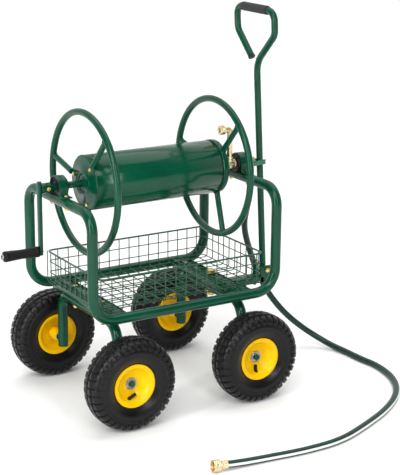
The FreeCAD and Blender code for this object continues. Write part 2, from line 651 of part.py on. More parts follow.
outlet_top = reel_z + dim["outlet_height"]
pipe_bore = dim["outlet_pipe"] - dim["outlet_wall"]
outlet_path = [Vector(dim["outlet_x"], 0, reel_z + dim["outlet_seat"]),
               Vector(dim["outlet_x"], 0, outlet_top),
               Vector(dim["outlet_x"] - dim["outlet_reach"] + 4, 0, outlet_top)]
thread_start = dim["outlet_x"] - dim["outlet_reach"]
thread = Part.makeCylinder(dim["thread_radius"], dim["thread_length"],
                           Vector(thread_start, 0, outlet_top), Vector(1, 0, 0))
thread_bore = Part.makeCylinder(pipe_bore, 1.5 * dim["thread_length"],
                                Vector(thread_start - 5, 0, outlet_top), Vector(1, 0, 0))
neck = Part.makeCone(dim["thread_radius"], dim["outlet_pipe"], 4,
                     Vector(thread_start + dim["thread_length"], 0, outlet_top), Vector(1, 0, 0))
outer_spout = bent_tube(outlet_path, [dim["outlet_bend"]], dim["outlet_pipe"])
inner_spout = bent_tube(outlet_path, [dim["outlet_bend"]], pipe_bore)
spout = outer_spout.fuse(thread).fuse(neck).cut(inner_spout).cut(thread_bore)
node("outlet_pipe", solid("outlet_pipe", spout))

elbow_start = dim["front_end_x"] + dim["strap_width"] / 2 + 1.5
elbow = fuse(rod("inlet_radius", dim["inlet_x"] - elbow_start, (elbow_start, 0, reel_z), (1, 0, 0)),
             rod("drop_radius", "inlet_drop", (dim["inlet_x"], 0, reel_z), (0, 0, -1)))
ball = doc.addObject("Part::Sphere", "ball")
bind(ball, Radius="corner_radius")
ball.Placement = Placement(Vector(dim["inlet_x"], 0, reel_z), Rotation())
swivel_bore = rod("shaft_radius + shaft_clearance", journal_end + 1 - elbow_start,
                  (elbow_start, 0, reel_z), (1, 0, 0))
drop_bore = rod("water_radius", "2 * inlet_drop", (dim["inlet_x"], 0, reel_z), (0, 0, -1))
node("inlet_elbow", cut(fuse(elbow, ball), swivel_bore, drop_bore))
inlet_mouth = reel_z - dim["inlet_drop"]
mouth = (dim["inlet_x"], 0, inlet_mouth)
node("inlet_ferrule", cut(rod("ferrule_radius", "ferrule_length", mouth, (0, 0, -1)),
                          rod("water_radius", "ferrule_length", mouth, (0, 0, -1))))

# ---------------------------------------------------------------- handle keeper clip
# Two mirrored spring arms.  Each outline runs from the foot on the strap, along the arm past
# the inlet elbow, to a jaw on the handle tube and a hooked lip, as (forward, outward).
clip_foot = dim["front_end_x"] + dim["strap_width"] / 2
clip_height = 14
clip_low = reel_z - 4.5
clip_outline = [(0, 16), (0, 31), (2.5, 31), (2.5, 18.5), (39, 18.5), (48, 12.3), (68, 12.3),
                (71.5, 8.6), (69.5, 6.8), (66, 9.9), (47, 9.9), (38, 16)]
clip_place = Placement(Vector(clip_foot, 0, clip_low), Rotation())
clip_near_place = Placement(Vector(clip_foot, 0, clip_low), Rotation(Vector(1, 0, 0), 180))
node("handle_clip", group(padded(clip_outline, "XY_Plane", clip_height, clip_place),
                          padded(clip_outline, "XY_Plane", clip_height, clip_near_place)))

# ---------------------------------------------------------------- tongue and pull handle
tongue_end = dim["pivot_x"] - 9
ear_top = dim["pivot_z"] + dim["ear_ahead"]
tongue_bar = block(tongue_end - king_x, "2 * tongue_half", "tongue_depth",
                   (king_x, -dim["tongue_half"], front_beam_z - dim["tongue_depth"] / 2))
ears = [block("ear_length", "ear_thick", ear_top - front_beam_z + dim["tongue_depth"] / 2,
              (dim["pivot_x"] + dim["ear_ahead"] - dim["ear_length"], y,
               front_beam_z - dim["tongue_depth"] / 2))
        for y in (dim["ear_gap"], -dim["ear_gap"] - dim["ear_thick"])]
beam_clear = rod("tube_radius", 80, (king_x, -40, front_beam_z), (0, 1, 0))
behind_beam = block(30, 80, 60, (king_x - 30, -40, front_beam_z - 30))
pivot_drill = rod("pivot_bolt_radius", 80, (dim["pivot_x"], -40, dim["pivot_z"]), (0, 1, 0))
node("tongue_clevis", cut(fuse(tongue_bar, *ears), behind_beam, beam_clear, pivot_drill))
pivot_half = dim["ear_gap"] + dim["ear_thick"]
pivot_end = pivot_half + dim["middle_nut"] + dim["nut_tail"]
pivot_bolt = fuse(rod("pivot_bolt_radius", pivot_half + pivot_end,
                      (dim["pivot_x"], -pivot_half, dim["pivot_z"]), (0, 1, 0)),
                  hexagon("middle_hex", "middle_head",
                          (dim["pivot_x"], -pivot_half, dim["pivot_z"]), (0, -1, 0)))
pivot_nut = cut(hexagon("middle_hex", "middle_nut", (dim["pivot_x"], pivot_half, dim["pivot_z"]), (0, 1, 0)),
                rod("pivot_bolt_radius", 40, (dim["pivot_x"], 0, dim["pivot_z"]), (0, 1, 0)))
node("handle_pivot_bolt", group(pivot_bolt, pivot_nut))

# The handle is drawn upright about its pivot, then leaned back towards the reel.
lean = Placement(Vector(dim["pivot_x"], 0, dim["pivot_z"]), Rotation(Vector(0, 1, 0), -dim["handle_lean"]))
half_loop = dim["loop_half"]
shoulder_z = dim["loop_shoulder"]
plug_face = Vector(0, dim["loop_end_y"], dim["loop_end_z"])
loop_points = [Vector(0, 0, -12), Vector(0, 0, dim["loop_neck"]), Vector(0, -half_loop, shoulder_z),
               Vector(0, -half_loop, dim["loop_top"]), Vector(0, half_loop, dim["loop_top"]),
               Vector(0, half_loop, shoulder_z - 2), plug_face]
loop_bends = [70, 35, 27, 27, 35]
handle = bent_tube(loop_points, loop_bends, dim["handle_tube"], dim["handle_wall"])
turning_radius = dim["pivot_bolt_radius"] + dim["shaft_clearance"]
handle = handle.cut(Part.makeCylinder(turning_radius, 60, Vector(0, -30, 0), Vector(0, 1, 0)))
node("handle_tube", solid("handle_tube", handle), lean)
foam = cut(rod("foam_radius", "foam_length", (0, -dim["foam_length"] / 2, dim["loop_top"]), (0, 1, 0)),
           rod("handle_tube", "foam_length", (0, -dim["foam_length"] / 2, dim["loop_top"]), (0, 1, 0)))
node("foam_grip", foam, lean)
plug_way = (plug_face - loop_points[-2]).normalize()
node("handle_end_plug", rod("handle_tube + 0.7", "plug_thick", (0, 0, 0)), lean.multiply(
    Placement(plug_face, Rotation(Vector(0, 0, 1), plug_way))))
spacers = []
for side in (-1, 1):
    ring = cut(rod("spacer_radius", "ear_gap - handle_tube - 2 * end_play",
                   (0, side * (dim["handle_tube"] + dim["end_play"]), 0), (0, side, 0)),
               rod(turning_radius, 40, (0, -20, 0), (0, 1, 0)))
    spacers.append(ring)
node("pivot_spacers", group(*spacers), lean)

# ---------------------------------------------------------------- leader hose
# From the inlet it hangs behind the pull handle, drops past the far side of the tongue,
# lands in front of the cart and runs round in one large loop to its brass coupling.
hose_start = inlet_mouth - dim["ferrule_length"]
HOSE = [(359, 0, hose_start), (359, 0, 530), (357, 12, 482), (365, 38, 434), (388, 67, 386),
        (415, 86, 334), (438, 90, 278), (465, 84, 216), (499, 74, 158), (543, 60, 104),
        (594, 42, 58), (628, 18, 32), (653, -24, 13), (664, -84, 9.3), (665, -156, 9.3), (674, -232, 9.3),
        (650, -335, 9.3), (585, -428, 9.3), (485, -502, 9.3), (372, -556, 9.3), (257, -602, 9.3),
        (137, -606, 9.3), (27, -592, 9.3), (-43, -588, 12), (-85, -584.5, 15.6)]
hose_points = [Vector(*spot) for spot in HOSE]
hose_radii = []
for i in range(1, len(hose_points) - 1):
    back = hose_points[i - 1] - hose_points[i]
    ahead = hose_points[i + 1] - hose_points[i]
    half_turn = (math.pi - back.getAngle(ahead)) / 2
    hose_radii.append(0.45 * min(back.Length, ahead.Length) / math.tan(half_turn))
print("hose radii", [round(r) for r in hose_radii])
hose_wire = rounded_path(hose_points, hose_radii)
hose_solid = swept(hose_wire, dim["hose_radius"], hose_points[0], hose_points[1] - hose_points[0])
print("hose length", round(hose_wire.Length, 1), "volume ratio",
      round(hose_solid.Volume / (math.pi * dim["hose_radius"] ** 2 * hose_wire.Length), 4))
node("leader_hose", solid("leader_hose", hose_solid))

hose_way = (hose_points[-1] - hose_points[-2]).normalize()
level_way = Vector(hose_way.x, hose_way.y, 0).normalize()
end_place = along(tuple(hose_way), tuple(hose_points[-1]))
level_place = along(tuple(level_way), tuple(hose_points[-1] + hose_way * dim["hose_ferrule_length"]))
nut_z = level_place.Base.z
node("hose_ferrule", turned([(0, 0), (0, "hose_radius + 0.6"), ("hose_ferrule_length - 4", "hose_radius + 0.6"),
                             ("hose_ferrule_length - 4", "hose_radius - 1"),
                             ("hose_ferrule_length + 5", "hose_radius - 1"),
                             ("hose_ferrule_length + 5", "hose_radius + 1.5"),
                             ("hose_ferrule_length + 8", "hose_radius + 1.5"),
                             ("hose_ferrule_length + 8", 5), (4, 5), (4, 0)], end_place))
node("coupling_nut", turned([(1, "hose_radius - 0.92"), (1, "coupling_radius - 2.5"), (3.5, "coupling_radius"),
                             ("coupling_length - 1.5", "coupling_radius"),
                             ("coupling_length", "coupling_radius - 1.5"),
                             ("coupling_length", "thread_radius - 0.2"), (8.5, "thread_radius - 0.2"),
                             (4.9, "hose_radius + 1.6"), (4.9, "hose_radius - 0.92")], end_place.multiply(
    Placement(Vector(dim["hose_ferrule_length"], 0, 0), Rotation()))))

# ---------------------------------------------------------------- check and write
doc.recompute()
broken = [thing.Name for thing in doc.Objects if {"Invalid", "Error"} & set(thing.State)]
for thing in NODES:
    if thing.Shape.isNull() or not thing.Shape.isValid():
        broken.append(thing.Label)
if broken:
    raise RuntimeError("failed: " + ", ".join(broken))
if len({thing.Label for thing in NODES}) != len(NODES):
    raise RuntimeError("two nodes share a name")
os.makedirs("parts", exist_ok=True)
for thing in NODES:
    thing.Shape.exportStep("parts/%s.step" % thing.Label)
print(len(NODES), "nodes written")
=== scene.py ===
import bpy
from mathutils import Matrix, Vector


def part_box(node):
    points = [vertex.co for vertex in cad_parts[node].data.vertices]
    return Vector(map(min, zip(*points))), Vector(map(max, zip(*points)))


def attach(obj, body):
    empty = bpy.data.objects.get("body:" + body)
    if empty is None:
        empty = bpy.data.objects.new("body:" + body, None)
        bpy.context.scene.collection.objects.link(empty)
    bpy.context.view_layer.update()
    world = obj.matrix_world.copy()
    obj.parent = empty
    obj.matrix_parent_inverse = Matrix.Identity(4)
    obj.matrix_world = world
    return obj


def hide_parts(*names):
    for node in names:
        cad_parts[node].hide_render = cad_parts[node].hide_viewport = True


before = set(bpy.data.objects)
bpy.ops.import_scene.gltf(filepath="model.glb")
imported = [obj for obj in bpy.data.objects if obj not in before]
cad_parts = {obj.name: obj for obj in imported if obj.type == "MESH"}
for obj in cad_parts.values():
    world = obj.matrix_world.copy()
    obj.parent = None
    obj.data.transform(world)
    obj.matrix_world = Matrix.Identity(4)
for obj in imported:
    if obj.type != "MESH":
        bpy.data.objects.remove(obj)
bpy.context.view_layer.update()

import math

import bmesh
import bpy
from mathutils import Matrix, Vector


# ---- camera
# It stands off the crank end on the near side, a little above the drum, and looks at the
# middle of the cart.
camera_spot = Vector((-1.8346, -3.28685, 1.52635))
camera_target = Vector((0.1677, -0.0369, 0.4299))
camera_roll = math.radians(0.4886)
backward = (camera_spot - camera_target).normalized()
rightward = Vector((0, 0, 1)).cross(backward).normalized()
upward = backward.cross(rightward)
camera_right = rightward * math.cos(camera_roll) + upward * math.sin(camera_roll)
camera_up = upward * math.cos(camera_roll) - rightward * math.sin(camera_roll)
camera_data = bpy.data.cameras.new("camera")
camera_data.sensor_fit = "HORIZONTAL"
camera_data.sensor_width = 36
camera_data.lens = 127.05
camera_data.clip_end = 60
camera = bpy.data.objects.new("camera", camera_data)
camera.matrix_world = Matrix((camera_right, camera_up, backward)).transposed().to_4x4()
camera.location = camera_spot
bpy.context.scene.collection.objects.link(camera)
bpy.context.scene.camera = camera


# ---- leader hose
# A metre and four fifths of extruded soft PVC garden hose, dark blue-green with one white
# stripe. It is crimped to the swivel inlet and lies in a loop round the front of the cart.
def linear(hex_colour):
    """An sRGB hex colour as linear numbers."""
    channels = [int(hex_colour[i:i + 2], 16) / 255 for i in (1, 3, 5)]
    return (*[c / 12.92 if c <= 0.04045 else ((c + 0.055) / 1.055) ** 2.4 for c in channels], 1)


def grey(level):
    """A grey as linear numbers."""
    return (level, level, level, 1)


def add_node(tree, kind, settings=None, links=None):
    """A shader node with its settings, by property, socket or colour stops, and its links, each
    from a socket or from another node's first output."""
    made = tree.nodes.new("ShaderNode" + kind)
    for key, value in (settings or {}).items():
        if key == "stops":
            elements = made.color_ramp.elements
            while len(elements) < len(value):
                elements.new(0.5)
            for element, (place, colour) in zip(elements, value):
                element.position = place
                element.color = colour
        elif isinstance(key, str) and hasattr(made, key):
            setattr(made, key, value)
        else:
            made.inputs[key].default_value = value
    for key, source in (links or {}).items():
        tree.links.new(getattr(source, "outputs", [source])[0], made.inputs[key])
    return made


def new_material(name):
    """An empty node material, its tree, and the link that lays a pattern on the piece."""
    material = bpy.data.materials.new(name)
    material.use_nodes = True
    tree = material.node_tree
    tree.nodes.clear()
    return material, tree, {"Vector": add_node(tree, "TexCoord").outputs["Object"]}


def finish_material(tree, settings, links):
    shader = add_node(tree, "BsdfPrincipled", settings, links)
    add_node(tree, "OutputMaterial", links={"Surface": shader})


def extruded_vinyl():
    """Soft PVC skin: a satin sheen, faint lengthways die lines and one white stripe."""
    material, tree, on_piece = new_material("extruded_vinyl_hose")
    along_and_round = {"Vector": add_node(tree, "TexCoord").outputs["UV"]}
    split = add_node(tree, "SeparateXYZ", links=along_and_round)
    turned = add_node(tree, "Math", {"operation": "ADD", 1: 0.55}, {0: split.outputs["Y"]})
    wrapped = add_node(tree, "Math", {"operation": "FRACT"}, {0: turned})
    beside_stripe = add_node(tree, "Math", {"operation": "SUBTRACT", 1: 0.5}, {0: wrapped})
    off_stripe = add_node(tree, "Math", {"operation": "ABSOLUTE"}, {0: beside_stripe})
    stripe_edge = [(0.052, grey(1)), (0.066, grey(0))]
    stripe = add_node(tree, "ValToRGB", {"stops": stripe_edge}, {"Fac": off_stripe})
    scuff = add_node(tree, "TexNoise", {"Scale": 35, "Detail": 4}, on_piece)
    greens = [(0.3, linear("#0c2a24")), (0.75, linear("#15382f"))]
    skin = add_node(tree, "ValToRGB", {"stops": greens}, {"Fac": scuff})
    colour = add_node(tree, "Mix", {"data_type": "RGBA", 7: linear("#e4e9e2")},
                      {0: stripe, 6: skin})
    lines = add_node(tree, "TexWave", {"Scale": 12, "bands_direction": "Y", "Distortion": 0.4},
                     along_and_round)
    relief = add_node(tree, "Bump", {"Strength": 0.12, "Distance": 0.0004},
                      {"Height": lines.outputs["Fac"]})
    sheen = add_node(tree, "ValToRGB", {"stops": [(0.3, grey(0.3)), (0.8, grey(0.46))]},
                     {"Fac": scuff})
    finish_material(tree, {"IOR": 1.38},
                    {"Base Color": colour.outputs[2], "Roughness": sheen, "Normal": relief})
    return material


hose_radius = 0.0092
hose_exit = (0.359, 0, 0.5665)
hose_route = [
    (0.359, 0, 0.5665), (0.359, 0, 0.530), (0.357, 0.012, 0.482), (0.365, 0.038, 0.434),
    (0.388, 0.067, 0.386), (0.415, 0.086, 0.334), (0.438, 0.090, 0.278), (0.465, 0.084, 0.216),
    (0.499, 0.074, 0.158), (0.543, 0.060, 0.104), (0.594, 0.042, 0.058), (0.628, 0.018, 0.032),
    (0.653, -0.024, 0.013), (0.664, -0.084, 0.0093), (0.665, -0.156, 0.0093), (0.674, -0.232, 0.0093),
    (0.650, -0.335, 0.0093), (0.585, -0.428, 0.0093), (0.485, -0.502, 0.0093), (0.372, -0.556, 0.0093),
    (0.257, -0.602, 0.0093), (0.137, -0.606, 0.0093), (0.027, -0.592, 0.0093), (-0.043, -0.588, 0.012),
    (-0.085, -0.5845, 0.0156)]
hose_line = bpy.data.curves.new("garden_hose", "CURVE")
hose_line.dimensions = "3D"
hose_line.resolution_u = 16
hose_line.bevel_depth = hose_radius
hose_line.bevel_resolution = 6
hose_line.use_fill_caps = True
hose_line.twist_mode = "Z_UP"
spline = hose_line.splines.new("NURBS")
spline.points.add(len(hose_route) - 1)
for point, spot in zip(spline.points, hose_route):
    point.co = (*spot, 1)
spline.order_u = 3
spline.use_endpoint_u = True
hose = bpy.data.objects.new("garden_hose", hose_line)
bpy.context.scene.collection.objects.link(hose)
hose_line.materials.append(extruded_vinyl())
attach(hose, "frame")
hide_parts("leader_hose")


# ---- brass hose end
# A crimped ferrule on the hose's tail piece, and a turned brass nut with grip grooves that
# spins on it. They lie at the free end of the hose, on the ground.
def brass(name, grain_mm):
    """Cast or turned brass: warm pale gold, with fine tool marks and a slight tarnish."""
    material, tree, on_piece = new_material(name)
    blotch = add_node(tree, "TexNoise", {"Scale": 60, "Detail": 5}, on_piece)
    golds = [(0.3, linear("#d3b983")), (0.5, linear("#ecdab0")), (0.75, linear("#f6ebcd"))]
    colour = add_node(tree, "ValToRGB", {"stops": golds}, {"Fac": blotch})
    grain = add_node(tree, "TexNoise", {"Scale": 1000 / grain_mm, "Detail": 2}, on_piece)
    relief = add_node(tree, "Bump", {"Strength": 0.25, "Distance": 0.0002}, {"Height": grain})
    dull = add_node(tree, "ValToRGB", {"stops": [(0.3, grey(0.42)), (0.7, grey(0.26))]},
                    {"Fac": blotch})
    finish_material(tree, {"Metallic": 1.0}, {"Base Color": colour, "Roughness": dull, "Normal": relief})
    return material


def pick(*pieces):
    """Select only these pieces, with the first one active."""
    bpy.ops.object.select_all(action="DESELECT")
    for piece in pieces:
        piece.select_set(True)
    if pieces:
        bpy.context.view_layer.objects.active = pieces[0]


def ease_edges(piece, width, segments=2, degrees=35):
    """Round every edge sharper than an angle, then shade the rest smooth."""
    pick(piece)
    rounding = piece.modifiers.new("rounding", "BEVEL")
    rounding.width = width
    rounding.segments = segments
    rounding.limit_method = "ANGLE"
    rounding.angle_limit = math.radians(degrees)
    rounding.harden_normals = False
    bpy.ops.object.modifier_apply(modifier=rounding.name)
    bpy.ops.object.shade_smooth_by_angle(angle=math.radians(50))


def draw_line(name, spots):
    """A line of vertices through some spots, left in edit mode with all of it selected."""
    pick()
    bpy.ops.mesh.primitive_plane_add(size=0.001, location=spots[0])
    piece = bpy.context.object
    piece.name = name
    bpy.ops.object.mode_set(mode="EDIT")
    bpy.ops.mesh.select_all(action="SELECT")
    bpy.ops.mesh.merge(type="CENTER")
    for here, there in zip(spots, spots[1:]):
        step = Vector(there) - Vector(here)
        bpy.ops.mesh.extrude_region_move(TRANSFORM_OT_translate={"value": step})
    bpy.ops.mesh.select_all(action="SELECT")
    return piece


def turn_on_lathe(name, outline, centre, axis, steps=64, edge=0, segments=1):
    """Turn an outline of (along the axis, radius) points about an axis, and ease its edges."""
    way = Vector(axis).normalized()
    side = way.orthogonal().normalized()
    piece = draw_line(name, [Vector(centre) + way * along + side * radius for along, radius in outline])
    bpy.ops.mesh.spin(steps=steps, angle=math.tau, center=centre, axis=way)
    bpy.ops.mesh.select_all(action="SELECT")
    bpy.ops.mesh.remove_doubles(threshold=1e-6)
    bpy.ops.mesh.normals_make_consistent(inside=False)
    bpy.ops.object.mode_set(mode="OBJECT")
    if edge:
        ease_edges(piece, edge, segments)
    return piece


def settle(piece, body, slot, material, *replaced):
    """Put a finished piece's place in its mesh, and give it its finish and its body."""
    pick(piece)
    bpy.ops.object.transform_apply(location=True, rotation=True, scale=True)
    piece.data.name = piece.name
    piece.data.materials.clear()
    piece.data.materials.append(material)
    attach(piece, body)
    if replaced:
        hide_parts(*replaced)


def joined(name, pieces):
    """Several pieces as one object."""
    pick(*pieces)
    bpy.ops.object.join()
    pieces[0].name = name
    return pieces[0]


def select_faces(piece, chosen):
    """In edit mode, select the faces that a test of their middle and normal picks out."""
    bpy.ops.mesh.select_all(action="DESELECT")
    shape = bmesh.from_edit_mesh(piece.data)
    for face in shape.faces:
        if chosen(piece.matrix_world @ face.calc_center_median(), face.normal):
            face.select_set(True)
    bmesh.update_edit_mesh(piece.data)


def crimps(count, radius):
    """Outline points of a ferrule's crimped rings."""
    starts = [0.0030 + k * 0.0045 for k in range(count)]
    steps = ((0, 0), (0.0008, -0.0005), (0.0020, -0.0005), (0.0028, 0))
    return [(start + along, radius + up) for start in starts for along, up in steps]


turned_brass = brass("turned_brass", 1.0)
tail = Vector(hose_route[-1])
tail_way = (tail - Vector(hose_route[-2])).normalized()
tail_outline = [(0.0, 0.0), (0.0, 0.0094), (0.001, 0.0102)] + crimps(3, 0.0102)
tail_outline += [(0.0160, 0.0102), (0.0165, 0.0083), (0.025, 0.0083), (0.025, 0.0107), (0.028, 0.0107),
                 (0.028, 0.005), (0.006, 0.005), (0.006, 0.0)]
hose_tail = turn_on_lathe("crimped_hose_tail", tail_outline, tail, tail_way, 48, 0.0003)
settle(hose_tail, "frame", "brass", turned_brass, "hose_ferrule")

nut_start = tail + tail_way * 0.020
nut_outline = [(0.001, 0.0083), (0.001, 0.0125), (0.003, 0.0149), (0.0035, 0.0152), (0.0055, 0.0152),
               (0.0062, 0.0140), (0.0070, 0.0140), (0.0077, 0.0152), (0.0170, 0.0152), (0.0178, 0.0141),
               (0.0186, 0.0141), (0.0193, 0.0150), (0.0208, 0.0150), (0.0210, 0.0148), (0.0210, 0.0136)]
for k in range(6):
    nut_outline += [(0.0205 - k * 0.002, 0.0131), (0.0195 - k * 0.002, 0.0137)]
nut_outline += [(0.0085, 0.0131), (0.0049, 0.0108), (0.0049, 0.0083), (0.001, 0.0083)]
nut_steps = 72
nut = turn_on_lathe("swivel_coupling_nut", nut_outline, nut_start, tail_way, nut_steps)
nut_up = Vector((0, 0, 1))


def in_grip_groove(spot, normal):
    """Every third strip round the nut's grip."""
    reach = (spot - nut_start).dot(tail_way)
    out = spot - nut_start - tail_way * reach
    turn = math.atan2(out.dot(nut_up), out.dot(tail_way.cross(nut_up))) / math.tau
    return out.length > 0.0148 and 0.008 < reach < 0.0168 and round(turn * nut_steps - 0.5) % 3 == 0


bpy.ops.object.mode_set(mode="EDIT")
select_faces(nut, in_grip_groove)
bpy.ops.mesh.extrude_region_shrink_fatten(TRANSFORM_OT_shrink_fatten={"value": -0.0009})
bpy.ops.object.mode_set(mode="OBJECT")
ease_edges(nut, 0.0002, 1)
settle(nut, "hose_nut", "brass", turned_brass, "coupling_nut")


# ---- frame, crossbars and axle beams
# Bent and welded round steel tube with pressed steel channels, all powder coated together
# in a deep glossy green.
def powder_coat(name, deep, pale, roughness, mirror=0.5):
    """Baked powder paint: a high gloss with slow orange peel and a slight shift of colour."""
    material, tree, on_piece = new_material(name)
    drift = add_node(tree, "TexNoise", {"Scale": 9, "Detail": 3}, on_piece)
    shades = [(0.35, linear(deep)), (0.7, linear(pale))]
    colour = add_node(tree, "ValToRGB", {"stops": shades}, {"Fac": drift})
    peel = add_node(tree, "TexNoise", {"Scale": 420, "Detail": 1}, on_piece)
    relief = add_node(tree, "Bump", {"Strength": 0.10, "Distance": 0.0002}, {"Height": peel})
    dust = add_node(tree, "TexNoise", {"Scale": 38, "Detail": 5}, on_piece)
    dulling = [(0.35, grey(roughness)), (0.8, grey(roughness + 0.09))]
    gloss = add_node(tree, "ValToRGB", {"stops": dulling}, {"Fac": dust})
    finish_material(tree, {"IOR": 1.36, "Specular IOR Level": mirror},
                    {"Base Color": colour, "Roughness": gloss, "Normal": relief})
    return material


def dress(material, *nodes):
    """Give CAD nodes that keep their own shape a finish."""
    for node in nodes:
        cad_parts[node].material_slots[0].material = material


green_paint = powder_coat("green_powder_coat", "#003d2a", "#024832", 0.12)
dress(green_paint, "front_frame_tube", "rear_frame_tube", "rear_axle_beam", "front_axle_beam",
      "rear_stub_axles", "front_stub_axles", "rear_ring", "front_ring", "handle_tube", "reel_shaft")


def press_strip(name, path, across, thickness, edge):
    """Bend a flat strip along a path, its width running across."""
    strip = draw_line(name, path)
    bpy.ops.mesh.extrude_region_move(TRANSFORM_OT_translate={"value": Vector(across)})
    bpy.ops.object.mode_set(mode="OBJECT")
    metal = strip.modifiers.new("metal", "SOLIDIFY")
    metal.thickness = thickness
    metal.offset = 0
    metal.use_even_offset = True
    bpy.ops.object.modifier_apply(modifier=metal.name)
    ease_edges(strip, edge)
    return strip


def arc(centre, radius, first, last, steps):
    """Flat points round an arc, from one angle in degrees to another."""
    turns = [math.radians(first + (last - first) * i / steps) for i in range(steps + 1)]
    return [(centre[0] + radius * math.cos(turn), centre[1] + radius * math.sin(turn)) for turn in turns]


skin = 0.0015
fold = 0.0045
for end in ("rear", "front"):
    low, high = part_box(end + "_crossbar")
    section = [(low.x + skin, low.z)]
    section += arc((low.x + skin + fold, high.z - skin - fold), fold, 180, 90, 5)
    section += arc((high.x - skin - fold, high.z - skin - fold), fold, 90, 0, 5)
    section.append((high.x - skin, low.z))
    channel = press_strip(end + "_pressed_crossbar", [(x, low.y, z) for x, z in section],
                          (0, high.y - low.y, 0), 2 * skin, 0.0005)
    settle(channel, "frame", "green_powder_coat", green_paint, end + "_crossbar")


def moulded_black():
    """Injection moulded nylon or PVC, near black, with a fine spark-eroded texture."""
    material, tree, on_piece = new_material("moulded_black_plastic")
    grain = add_node(tree, "TexNoise", {"Scale": 900, "Detail": 2}, on_piece)
    blacks = [(0.3, linear("#060607")), (0.8, linear("#0e0f10"))]
    tone = add_node(tree, "ValToRGB", {"stops": blacks}, {"Fac": grain})
    relief = add_node(tree, "Bump", {"Strength": 0.2, "Distance": 0.0002}, {"Height": grain})
    finish_material(tree, {"IOR": 1.3, "Roughness": 0.42}, {"Base Color": tone, "Normal": relief})
    return material


black_plastic = moulded_black()
dress(black_plastic, "handle_end_plug", "king_pin_bushing")


# ---- reel bearings
# A pressed steel strap bolts a black plastic bushing to the middle of each top cross-tube.
# The bushing has a round flange on the reel's side and sits a little inside the strap.
shaft_height = 0.6215
strap_half = 0.056
strap_foot = 0.026
strap_bend = 0.005
bush_outline = [(-0.0095, 0.0096), (-0.0095, 0.0150), (-0.0085, 0.0155), (-0.0070, 0.0155),
                (-0.0065, 0.0165), (-0.0065, 0.0225), (-0.0090, 0.0235), (-0.0090, 0.0268),
                (0.0130, 0.0268), (0.0130, 0.0243), (0.0178, 0.0243), (0.0180, 0.0235),
                (0.0180, 0.0150), (0.0172, 0.0140), (0.0172, 0.0096), (-0.0095, 0.0096)]
for end, flange_side in (("rear", 1), ("front", -1)):
    low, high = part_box(end + "_bearing_strap")
    arch = (high.y - low.y) / 2 - strap_foot - skin
    seat = low.z + skin
    half = [(-strap_half, seat), (-arch - strap_bend, seat)]
    half += arc((-arch - strap_bend, seat + strap_bend), strap_bend, -90, 0, 5)[1:]
    section = half + arc((0, shaft_height), arch, 180, 0, 32) + [(-y, z) for y, z in reversed(half)]
    strap = press_strip(end + "_pressed_bearing_strap", [(low.x, y, z) for y, z in section],
                        (high.x - low.x, 0, 0), 2 * skin, 0.0005)
    settle(strap, "frame", "green_powder_coat", green_paint, end + "_bearing_strap")
    middle = (low.x + high.x) / 2
    bush = turn_on_lathe(end + "_flanged_bushing", bush_outline, (middle, 0, shaft_height),
                         (flange_side, 0, 0), 56)
    bpy.ops.object.mode_set(mode="EDIT")
    bpy.ops.mesh.select_all(action="SELECT")
    bpy.ops.mesh.bisect(plane_co=(middle, 0, low.z + 0.0003), plane_no=(0, 0, 1), use_fill=True,
                        clear_inner=True)
    bpy.ops.object.mode_set(mode="OBJECT")
    ease_edges(bush, 0.0003, 1)
    settle(bush, "frame", "black_plastic", black_plastic, end + "_shaft_bushing")


# ---- drum
# A rolled sheet barrel between two pressed steel plates. The rear plate has a low turned rim,
# the front one is a deeper cup with a dark seam where it meets the barrel.
barrel_low, barrel_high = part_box("drum_barrel")
drum_radius = (barrel_high.z - barrel_low.z) / 2
drum_length = barrel_high.x - barrel_low.x
drum_start = Vector((barrel_low.x, 0, shaft_height))
barrel_end = drum_length - 0.0012
barrel_outline = [(0.0005, drum_radius - 0.002), (0.0005, drum_radius), (barrel_end, drum_radius),
                  (barrel_end, drum_radius - 0.002), (0.0005, drum_radius - 0.002)]
barrel = turn_on_lathe("rolled_drum_barrel", barrel_outline, drum_start, (1, 0, 0), 128, 0.0004)
settle(barrel, "reel", "green_powder_coat", green_paint, "drum_barrel")

plate_face = [(0.0, 0.0096), (0.0092, 0.0096), (0.0092, 0.0135), (0.0084, 0.0160), (0.0066, 0.0180),
              (0.0052, 0.0200), (0.0050, 0.0225), (0.0056, 0.0245), (0.0062, 0.0265), (0.0062, 0.0300),
              (0.0056, 0.0325), (0.0040, 0.0340), (0.0030, 0.0355), (0.0030, 0.0690), (0.0024, 0.0725),
              (0.0010, 0.0750)]
rear_rim = [(-0.0005, 0.0760), (-0.0015, 0.0760), (-0.0015, 0.0752), (0.0002, 0.0740), (0.0002, 0.0096),
            (0.0, 0.0096)]
rear_plate = turn_on_lathe("rear_pressed_plate", plate_face + rear_rim, drum_start, (-1, 0, 0), 128, 0.0003)
settle(rear_plate, "reel", "green_powder_coat", green_paint, "rear_drum_plate")
cup_depth = 0.016
front_rim = [(-0.0012, 0.0760), (-cup_depth, 0.0760), (-cup_depth, 0.0738), (-0.0030, 0.0738),
             (0.0, 0.0710), (0.0, 0.0096)]
drum_end = drum_start + Vector((drum_length, 0, 0))
cup_face = drum_end + Vector((cup_depth, 0, 0))
front_plate = turn_on_lathe("front_pressed_cup", plate_face + front_rim, cup_face, (1, 0, 0), 128, 0.0003)
settle(front_plate, "reel", "green_powder_coat", green_paint, "front_drum_plate")
# A thin black ring fills the seam where the cup meets the barrel, for the dark line there.
seam_outline = [(-0.0014, 0.0735), (-0.0014, 0.0756), (0.0002, 0.0756), (0.0002, 0.0735), (-0.0014, 0.0735)]
seam = turn_on_lathe("black_drum_seam_ring", seam_outline, drum_end, (1, 0, 0), 128)
settle(seam, "reel", "black_plastic", black_plastic)


